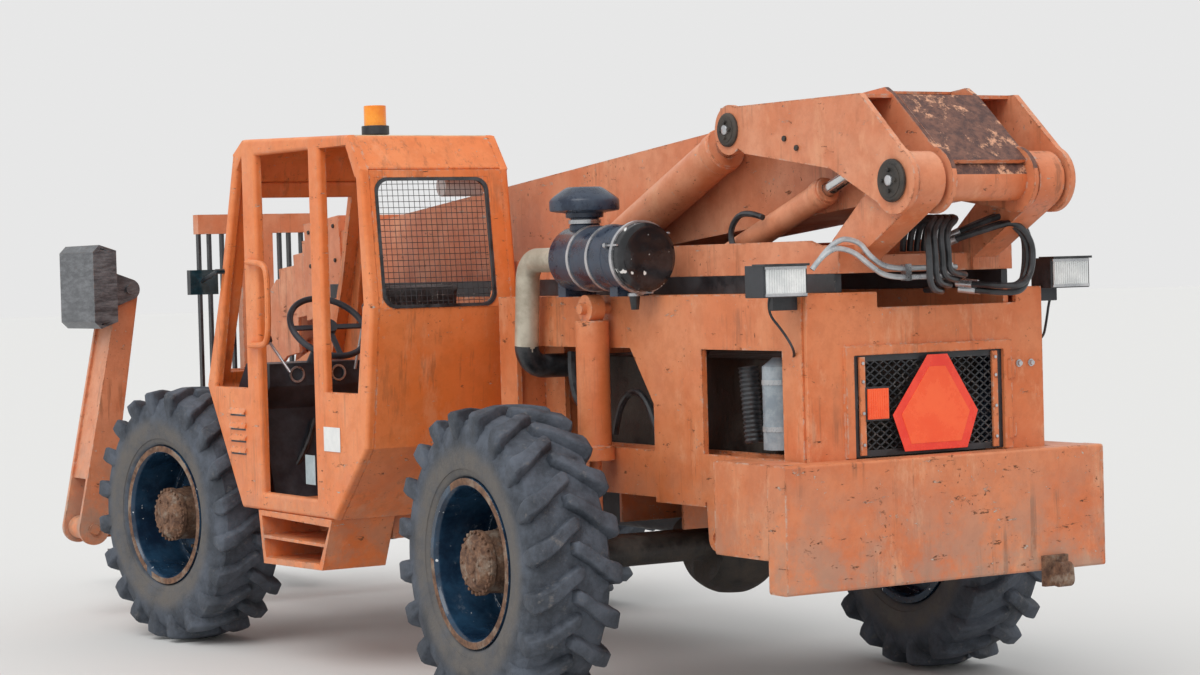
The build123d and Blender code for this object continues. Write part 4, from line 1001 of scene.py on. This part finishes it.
class FORKLIFT_OT_cab(bpy.types.Operator):
    """Paints the cab's panels and makes its rear mesh, gasket, seat, levers and blank plates"""
    bl_idname = "forklift.cab"
    bl_label = "Cab"

    def execute(self, context):
        skin("cab_left cab_right", "cab_orange", "orange_paint", 0.018, None, 4, side_rounding, False)
        skin("cab_rear cab_front", "cab_orange", "orange_paint", 0.018, None, 4, shell_rounding)
        skin("cab_floor", "cab_orange", "orange_paint", 0.005)
        skin("cab_roof", "cab_orange roof_lining", "orange_paint", 0.018, roof_choice, 4, shell_rounding)
        skin("dash_console steering_wheel", "moulded_plastic", "dark_plastic")
        self.rear_window()
        self.side_fittings()
        self.controls()
        self.seat()
        return {"FINISHED"}

    def rear_window(self):
        """Rubber gasket round the rear window and the square wire mesh inside it."""
        low, high, right, left = 1.672, 2.232, 0.558, 1.112
        piece = Piece("rear_window_mesh", "black_paint", "hose_black", "blank_plate", "cab_orange")
        lean = math.atan2(wall_lean, wall_rise)
        pitch = 0.0262
        columns, rows = round((left - right + 0.03) / pitch), round((high - low + 0.03) / pitch)
        middle = (low + high) / 2
        piece.lay(wire_lattice("black_paint"),
                  facing_back(cab_back_x(middle) + 0.052, (left + right) / 2, middle, lean),
                  width=pitch * (columns - 1), height=pitch * (rows - 1), columns=columns, rows=rows,
                  bar_length=pitch, bar_radius=0.0014)
        piece.paint = 1
        round_out = 0.058
        loop = []
        for y, z, start in ((left, high, 0), (right, high, 90), (right, low, 180), (left, low, 270)):
            cy = y - round_out if y == left else y + round_out
            cz = z - round_out if z == high else z + round_out
            for step in range(7):
                angle = math.radians(start + 15 * step)
                loop.append((cy + round_out * math.cos(angle), cz + round_out * math.sin(angle)))
        rings = []
        for grow, deep in ((0.010, -0.003), (-0.008, -0.005), (-0.008, 0.012), (0.010, 0.004)):
            ring = []
            for y, z in loop:
                dy, dz = y - (left + right) / 2, z - middle
                size = math.hypot(dy, dz)
                y, z = y + grow * dy / size, z + grow * dz / size
                ring.append((cab_back_x(z) + deep, y, z))
            rings.append(ring)
        piece.loft([*rings, rings[0]], False)
        piece.paint = 2
        piece.bar((1.235, 0.690, 2.205), (1.235, 0.490, 2.205), 0.046, sides=40)
        piece.paint = 3
        for number, (y, z) in enumerate(((left, high), (right, high), (right, low), (left, low))):
            arc = [loop[7 * number + step] for step in range(7)]
            out_y = 0.012 if y == left else -0.012
            out_z = 0.012 if z == high else -0.012
            (first_y, first_z), (last_y, last_z) = arc[0], arc[-1]
            if number % 2:
                corner = [(last_y + out_y, last_z), (y + out_y, z + out_z), (first_y, first_z + out_z)]
            else:
                corner = [(last_y, last_z + out_z), (y + out_y, z + out_z), (first_y + out_y, first_z)]
            piece.loft([[(cab_back_x(b) + deep, a, b) for a, b in arc + corner] for deep in (0.001, 0.036)])
        piece.done("root", corner=50, slot="black_paint")

    def side_fittings(self):
        """Grab handle at the door's front post, and the louvres low on the side, each with a thin black strip of
        painted shade under its lip.
        """
        piece = Piece("cab_side_fittings", "cab_orange", "black_paint")
        y = 1.205
        piece.tube([(2.262, 1.178, 1.892), (2.262, y, 1.892), (2.120, y, 1.886), (2.030, y, 1.870), (2.012, y, 1.800),
                    (2.012, y, 1.690), (2.014, y, 1.580), (2.036, y, 1.510), (2.110, y, 1.496), (2.262, y, 1.497),
                    (2.262, 1.178, 1.497)], 0.0145, 16)
        for z in (1.180, 1.112, 1.054, 0.995):
            piece.paint = 0
            piece.loft([[(x, 1.181 + out, z + up) for out, up in
                         ((-0.002, 0.014), (0.010, -0.010), (0.012, -0.016), (-0.002, -0.016))]
                        for x in (2.351, 2.362, 2.527, 2.538)])
            # Painted shade: a thin black strip on the side's face stands in for the dark opening under the lip.
            piece.paint = 1
            piece.box(2.360, 2.529, 1.1795, 1.1812, z - 0.026, z - 0.016)
        piece.done("root", slot="orange_paint")

    def controls(self):
        """Levers, console knobs, the red box in the footwell and two blank plates."""
        piece = Piece("cab_controls", "clamp_steel", "black_paint", "reflector_orange", "blank_plate", "grey_plate",
                      "hose_black")
        for foot, head in (((2.30, 0.62, 1.36), (2.20, 0.60, 1.66)), ((2.30, 0.56, 1.36), (2.22, 0.54, 1.62)),
                           ((2.18, 1.02, 1.36), (2.30, 1.08, 1.52))):
            piece.paint = 0
            piece.bar(foot, head, 0.007, sides=12)
            piece.paint = 1
            piece.turned([(-0.026, 0.0), (-0.020, 0.016), (0.0, 0.023), (0.020, 0.016), (0.026, 0.0)], head,
                         Vector(head) - Vector(foot), 20)
        for y in (0.70, 0.92):
            piece.paint = 0
            piece.turned([(-0.004, 0.030), (-0.004, 0.040), (0.006, 0.040), (0.006, 0.030)],
                         (2.322, y, 1.345), (-1, 0, 0), 40)
        piece.paint = 2
        piece.box(2.42, 2.56, 0.88, 1.04, 0.78, 0.93)
        piece.paint = 1
        piece.bar((2.49, 0.96, 0.93), (2.49, 0.96, 0.955), 0.034, sides=32)
        piece.paint = 5
        piece.tube([(2.49, 1.00, 0.90), (2.44, 1.06, 1.00), (2.52, 1.08, 1.10), (2.60, 1.00, 1.20)], 0.011)
        piece.tube([(2.40, 0.80, 1.12), (2.30, 0.90, 0.92), (2.42, 1.00, 0.80)], 0.014)
        piece.paint = 3
        piece.box(1.335, 1.500, 1.1815, 1.1840, 1.025, 1.135)
        piece.paint = 4
        piece.box(1.600, 1.700, 1.1815, 1.1840, 0.865, 1.000)
        piece.done("root", 0.0012, slot="dark_plastic")

    def seat(self):
        """Cushion and back as blown-up vinyl pads on the seat's base."""
        cushion = self.pad("seat_cushion", (0.47, 0.46, 0.11), (1.565, 0.820, 1.215), 0.0)
        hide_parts("seat")
        back = self.pad("seat_back", (0.11, 0.44, 0.56), (1.306, 0.820, 1.505), math.radians(-8))
        base = Piece("seat_base", "moulded_plastic")
        base.box(1.50, 1.76, 0.65, 0.99, 0.757, 1.165)
        base.done("root", 0.010, 3, slot="seat_cover")

    def pad(self, name, size, centre, lean):
        """A padded box: a fine cage, blown up as cloth, held to its size and smoothed."""
        allowance, mesh_step, most, frames = 0.024, 0.020, 0.012, 14
        shape = bmesh.new()
        bmesh.ops.create_cube(shape, size=1.0)
        for vert in shape.verts:
            vert.co = Vector([vert.co[i] * (size[i] - allowance) for i in range(3)])
        bmesh.ops.subdivide_edges(shape, edges=shape.edges, cuts=int(max(size) / mesh_step), use_grid_fill=True)
        thing = stand(name, mesh_from(name, shape))
        before = [vert.co.copy() for vert in thing.data.vertices]
        cloth = thing.modifiers.new("blown", "CLOTH")
        cloth.settings.use_pressure = True
        cloth.settings.uniform_pressure_force = 4.0
        cloth.settings.effector_weights.gravity = 0.0
        for number in range(frames):
            bpy.context.scene.frame_set(number + 1)
        settle(thing)
        bpy.context.scene.frame_set(1)
        turn = Matrix.Rotation(lean, 3, "Y")
        for vert, old in zip(thing.data.vertices, before):
            move = vert.co - old
            if move.length > most:
                move *= most / move.length
            vert.co = spot(*centre) + turn @ (old + move)
        thing.data.materials.append(finish_of("worn_vinyl"))
        smooth = thing.modifiers.new("smooth", "SUBSURF")
        smooth.levels = smooth.render_levels = 1
        settle(thing)
        for polygon in thing.data.polygons:
            polygon.use_smooth = True
        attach(thing, "root")
        return thing


class FORKLIFT_OT_fittings(bpy.types.Operator):
    """Finishes the air intake, the lamps with their ribbed lenses, and the mirror"""
    bl_idname = "forklift.fittings"
    bl_label = "Fittings"

    def execute(self, context):
        self.intake()
        self.lamps()
        skin("mirror", "black_paint mirror_glass", "black_paint", 0.003,
             lambda middle, normal: 1 if normal.x < -0.9 and middle.y > 1.2 else 0)
        return {"FINISHED"}

    def intake(self):
        piece = Piece("air_cleaner_body", "navy_enamel", "cap_enamel", "clamp_steel")
        cleaner_y, cleaner_z = 0.660, 1.857
        centre = (-0.444, cleaner_y, cleaner_z)
        piece.paint = 1
        piece.turned([(0.0, 0.0), (0.0, 0.112), (0.004, 0.124), (0.014, 0.138), (0.040, 0.142), (0.070, 0.139),
                      (0.070, 0.0)], centre, (1, 0, 0), 96)
        piece.paint = 2
        for start, tall in ((0.044, 0.149), (0.250, 0.1385), (0.400, 0.1385)):
            piece.turned([(start, 0.130), (start, tall), (start + 0.018, tall), (start + 0.018, 0.130)], centre,
                         (1, 0, 0), 96)
        piece.turned([(0.626, 0.050), (0.626, 0.071), (0.642, 0.071), (0.642, 0.050)], centre, (1, 0, 0), 64)
        piece.paint = 0
        piece.turned([(0.066, 0.0), (0.066, 0.134), (0.150, 0.134), (0.154, 0.131), (0.156, 0.134), (0.560, 0.134),
                      (0.572, 0.130), (0.632, 0.068), (0.674, 0.064), (0.674, 0.0)], centre, (1, 0, 0), 96)
        top = (0.040, cleaner_y, cleaner_z)
        piece.turned([(0.090, 0.0), (0.090, 0.066), (0.140, 0.064), (0.144, 0.060), (0.168, 0.060), (0.172, 0.078),
                      (0.190, 0.080), (0.194, 0.110), (0.200, 0.143), (0.206, 0.146), (0.240, 0.146), (0.248, 0.142),
                      (0.262, 0.126), (0.290, 0.086), (0.298, 0.070), (0.298, 0.0)], top, (0, 0, 1), 96)
        piece.paint = 2
        piece.turned([(0.146, 0.058), (0.146, 0.068), (0.162, 0.068), (0.162, 0.058)], top, (0, 0, 1), 64)
        piece.paint = 0
        for x in (-0.270, 0.140):
            piece.box(x - 0.030, x + 0.030, 0.570, 0.720, 1.700, 1.762)
        piece.done("root", replaces=("air_cleaner",), slot="black_paint")
        skin("intake_pipe", "pale_pipe hose_black clamp_steel", "pale_pipe", 0.0, self.pipe_paint)
        piece = Piece("air_cleaner_clips", "clamp_steel", "hose_black")
        for angle in (20, 140, 260):
            turn = math.radians(angle)
            y, z = math.cos(turn), math.sin(turn)
            start = (-0.430, cleaner_y + 0.146 * y, cleaner_z + 0.146 * z)
            end = (-0.340, cleaner_y + 0.145 * y, cleaner_z + 0.145 * z)
            piece.bar(start, end, 0.0045, sides=10)
            piece.bar((-0.352, start[1], start[2]), (-0.334, start[1], start[2]), 0.011, sides=12)
        piece.turned([(0.0, 0.020), (0.0, 0.0285), (0.012, 0.0285), (0.012, 0.020)], (-0.334, cleaner_y, 1.700),
                     (0, 0, 1), 32)
        piece.paint = 1
        piece.turned([(0.0, 0.0), (0.0, 0.016), (0.050, 0.022), (0.110, 0.025), (0.110, 0.0)],
                     (-0.334, cleaner_y, 1.645), (0, 0, 1), 24)
        piece.done("root", slot="worn_steel")

    def pipe_paint(self, middle, normal):
        pipe_x, pipe_y, pipe_radius = 0.5505, 0.660, 0.0535
        if 1.495 < middle.z < 1.524 and math.hypot(middle.x - pipe_x, middle.y - pipe_y) > pipe_radius:
            return 2
        return 1 if middle.z < 1.500 else 0

    def lamp_paint(self, middle, normal):
        if middle.z > 2.484:
            return 1
        return 2 if middle.z > 1.80 and normal.z > 0.5 and middle.x < 0 else 0

    def lamps(self):
        skin("lamps", "black_paint beacon_amber navy_enamel", "black_paint", 0.003, self.lamp_paint)
        piece = Piece("lamp_lenses", "lens_white", "hose_black", "clamp_steel")
        for side in (1, -1):
            y = side * 0.690
            piece.paint = 0
            piece.box(-1.436, -1.431, y - 0.089, y + 0.089, 1.704, 1.796)
            piece.lay(slat_row("lens_white"), facing_back(-1.437, y - 0.0825, 1.750),
                      count=16, pitch=0.011, slat_x=0.0055, slat_y=0.086, slat_z=0.004)
            piece.paint = 2
            for z in (1.699, 1.800):
                piece.box(-1.438, -1.430, y - 0.094, y + 0.094, z - 0.005, z + 0.005)
            piece.paint = 1
            piece.box(-1.448, -1.360, y - 0.100, y + 0.100, 1.806, 1.815)
            piece.tube([(-1.33, y, 1.700), (-1.30, y, 1.640), (-1.34, y - side * 0.05, 1.560),
                        (-1.36, side * 0.600, 1.480), (-1.30, side * 0.570, 1.46)], 0.0055, 8)
        piece.done("root", slot="black_paint")


# Boom

class FORKLIFT_OT_boom(bpy.types.Operator):
    """Paints the boom, its carriage, cylinders and forks, and makes the pins, collar, gland rings, hoses and pipes"""
    bl_idname = "forklift.boom"
    bl_label = "Boom"

    def execute(self, context):
        skin("boom_carriage boom_mid boom_inner tilt_barrel", "boom_orange", "orange_paint")
        skin("boom_outer", "boom_orange rusted_plate dark_iron", "orange_paint", choose=self.tail_paint)
        skin("lift_barrels level_barrels", "boom_orange dark_iron", "orange_paint")
        skin("fork_carriage", "boom_orange black_paint", "orange_paint", choose=self.head_paint)
        skin("lift_rods level_rods tilt_rod", "polished_rod", "chrome_rod", 0.002)
        skin("forks", "bare_steel", "worn_steel")
        self.tail_pins()
        self.boom_collar()
        self.nose_rings()
        self.carriage_pipes()
        return {"FINISHED"}

    def tail_paint(self, middle, normal):
        if abs(middle.y) > 0.386:
            return 2
        sloping = normal.z > 0.25 and normal.x < -0.25
        return 1 if sloping and abs(middle.y) < 0.20 and middle.x < -1.45 else 0

    def head_paint(self, middle, normal):
        on_bar = any(abs(abs(middle.y) - y) < 0.0095 for y in (0.351, 0.287, 0.209, 0.150))
        return 1 if on_bar and 0.93 < middle.z < 2.068 else 0

    def tail_pins(self):
        """Pin ends with their steel middles, rings and bolts, on the boom's tail."""
        piece = Piece("tail_pins", "dark_iron", "clamp_steel")
        ring = bolt_ring("dark_iron")
        for side in (1, -1):
            for x, z, radius, face in ((*tail_pin, 0.062, 0.406), (*lift_rod_pin, 0.050, 0.402)):
                way = (0, side, 0)
                piece.paint = 0
                piece.turned([(-0.006, radius - 0.004), (-0.006, radius + 0.018), (0.004, radius + 0.018),
                              (0.010, radius + 0.010), (0.010, radius - 0.004)],
                             (x, side * (face - 0.012), z), way, 48)
                piece.lay(ring, aimed((x, side * (face + 0.004), z), way), count=4, ring_radius=radius * 0.62,
                          sides=6, head_radius=0.0085, head_height=0.012)
                piece.paint = 1
                piece.turned([(-0.004, 0.0), (-0.004, 0.020), (0.006, 0.020), (0.009, 0.014), (0.009, 0.0)],
                             (x, side * face, z), way, 32)
            piece.paint = 0
            for x, z in ((-1.10, 2.26), (-1.02, 2.30)):
                piece.bar((x, side * 0.384, z), (x, side * 0.394, z), 0.012, sides=6)
        piece.done("boom_outer", 0.001, 1, slot="cast_iron")

    def boom_collar(self):
        """Raised wear collar round the outer boom's mouth, with its bolts."""
        droop = math.radians(5.2)
        along = Vector((math.cos(droop), 0, -math.sin(droop)))
        up = Vector((math.sin(droop), 0, math.cos(droop)))
        pivot = Vector((tail_pin[0], 0, tail_pin[1]))
        piece = Piece("boom_collar", "boom_orange", "dark_iron")
        for y0, y1, low, high in ((-0.205, 0.205, 0.385, 0.470), (0.203, 0.217, -0.040, 0.470),
                                  (-0.217, -0.203, -0.040, 0.470)):
            outline = ((y0, low), (y1, low), (y1, high), (y0, high))
            piece.loft([[pivot + along * distance + up * z + Vector((0, y, 0)) for y, z in outline]
                        for distance in (4.94, 5.36)])
        piece.paint = 1
        for side in (1, -1):
            for distance in (5.00, 5.15, 5.30):
                for height in (0.06, 0.24, 0.42):
                    foot = pivot + along * distance + up * height + Vector((0, side * 0.216, 0))
                    piece.bar(foot, foot + Vector((0, side * 0.010, 0)), 0.012, sides=6)
        piece.done("boom_outer", 0.003, slot="orange_paint")

    def nose_rings(self):
        """The gland ring at the mouth of each lift and levelling barrel."""
        for name, base, tip, y, reach, radius in (
                ("lift_barrels", lift_barrel_pin, lift_rod_pin, 0.300, 1.548, 0.0885),
                ("level_barrels", level_barrel_pin, level_rod_pin, 0.284, 0.792, 0.0545)):
            foot = Vector((base[0], 0, base[1]))
            way = (Vector((tip[0], 0, tip[1])) - foot).normalized()
            piece = Piece(f"{name}_glands", "boom_orange", "dark_iron")
            for side in (1, -1):
                centre = foot + way * reach + Vector((0, side * y, 0))
                piece.turned([(-0.060, radius - 0.006), (-0.060, radius), (-0.052, radius + 0.002),
                              (-0.004, radius + 0.002), (0.0, radius - 0.002), (0.0, radius - 0.006)],
                             centre, way, 64)
            piece.done(name, slot="orange_paint")

    def carriage_pipes(self):
        """Two bundles of hoses, bent steel pipes with their clips, and the levelling cylinder's hose loop."""
        piece = Piece("carriage_pipes", "hose_black", "pipe_grey", "clamp_steel")
        loops = (((-0.10, 1.905), (-0.185, 1.968), (-0.290, 1.982), (-0.371, 1.915), (-0.374, 1.790),
                  (-0.345, 1.692), (-0.261, 1.676), (-0.170, 1.700)),
                 ((-0.08, 1.880), (-0.170, 1.940), (-0.262, 1.952), (-0.338, 1.880), (-0.342, 1.790),
                  (-0.310, 1.720), (-0.240, 1.702), (-0.160, 1.722)))
        for start_y, end_y, side_y, low in ((0.040, 0.020, 0.190, 1.700), (0.006, -0.018, 0.160, 1.722),
                                            (-0.028, -0.056, 0.128, 1.742), (-0.062, -0.094, 0.098, 1.760)):
            piece.tube([(-1.30, start_y, 1.850), (-1.31, start_y, 1.955), (-1.42, start_y, 1.975),
                        (-1.56, start_y + 0.03, 1.975), (-1.64, side_y, 1.930), (-1.655, side_y, 1.830),
                        (-1.64, side_y - 0.01, low + 0.01), (-1.58, end_y + 0.05, low - 0.008),
                        (-1.50, end_y, low), (-1.41, end_y, low)], hose_radius)
        for number, loop in enumerate(loops):
            for shift in (0.0, 0.028):
                x = -1.535 - 0.055 * number - shift
                points = [(-1.42, loop[0][0], loop[0][1]), *[(x, y, z) for y, z in loop[1:-1]],
                          (-1.44, loop[-1][0] + shift, loop[-1][1])]
                piece.tube(points, hose_radius)
                piece.paint = 2
                for end, ahead in ((points[0], points[1]), (points[-1], points[-2])):
                    way = (Vector(ahead) - Vector(end)).normalized()
                    piece.bar(Vector(end) - way * 0.02, Vector(end) + way * 0.045, 0.0165, sides=16)
                piece.paint = 0
        piece.paint = 1
        for shift in (0.0, 0.034):
            piece.tube([(-1.42, 0.560 - shift, 1.790 + shift), (-1.44, 0.500 - shift, 1.872 + shift),
                        (-1.46, 0.403 - shift, 1.860 + shift), (-1.50, 0.350, 1.800 + shift),
                        (-1.50, 0.270, 1.752 + shift), (-1.50, 0.080, 1.752 + shift),
                        (-1.50, -0.060, 1.752 + shift)], 0.0105)
        piece.paint = 2
        for y in (0.18, -0.02):
            piece.box(-1.515, -1.484, y - 0.014, y + 0.014, 1.738, 1.802)
        piece.paint = 0
        piece.tube([(-0.824, 0.362, 2.000), (-0.699, 0.364, 2.033), (-0.604, 0.364, 1.976), (-0.600, 0.364, 1.896),
                    (-0.690, 0.364, 1.834), (-0.829, 0.362, 1.824), (-0.880, 0.360, 1.870)], hose_radius)
        piece.done(frame["nodes"]["boom_carriage"]["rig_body"], slot="black_paint")


class FORKLIFT_OT_outriggers(bpy.types.Operator):
    """Finishes both outriggers"""
    bl_idname = "forklift.outriggers"
    bl_label = "Outriggers"

    def execute(self, context):
        for hand, _ in handed:
            skin(f"outrigger_arm_{hand}", "boom_orange dark_iron", "orange_paint", choose=self.arm_paint)
            skin(f"outrigger_barrel_{hand}", "boom_orange", "orange_paint", 0.002)
            skin(f"outrigger_rod_{hand}", "polished_rod", "chrome_rod", 0.002)
            skin(f"outrigger_foot_{hand}", "bare_steel", "worn_steel", 0.003)
        return {"FINISHED"}

    def arm_paint(self, middle, normal):
        at_pin = math.hypot(abs(middle.y) - 1.222, middle.z - 0.490) < 0.040
        return 1 if abs(normal.x) > 0.9 and at_pin else 0


operators = (
    FORKLIFT_OT_stage, FORKLIFT_OT_chassis, FORKLIFT_OT_axles, FORKLIFT_OT_wheels, FORKLIFT_OT_cab,
    FORKLIFT_OT_fittings, FORKLIFT_OT_boom, FORKLIFT_OT_outriggers)


class FORKLIFT_PT_pieces(bpy.types.Panel):
    """Lists the pieces of the truck and the stage"""
    bl_idname = "FORKLIFT_PT_pieces"
    bl_label = "Forklift truck"
    bl_space_type = "VIEW_3D"
    bl_region_type = "UI"
    bl_category = "Forklift"

    def draw(self, context):
        scene = context.scene
        for group in (scene.forklift_stage, scene.forklift_tyres):
            box = self.layout.box()
            for name in group.__annotations__:
                box.prop(group, name)
        for operator in operators:
            self.layout.operator(operator.bl_idname)


classes = (StageSettings, TyreSettings, *operators, FORKLIFT_PT_pieces)


def register():
    for each in classes:
        bpy.utils.register_class(each)
    bpy.types.Scene.forklift_stage = bpy.props.PointerProperty(type=StageSettings)
    bpy.types.Scene.forklift_tyres = bpy.props.PointerProperty(type=TyreSettings)


def unregister():
    del bpy.types.Scene.forklift_stage
    del bpy.types.Scene.forklift_tyres
    for each in reversed(classes):
        bpy.utils.unregister_class(each)


def main():
    register()
    for operator in operators:
        family, name = operator.bl_idname.split(".")
        getattr(getattr(bpy.ops, family), name)()


if __name__ == "__main__":
    main()
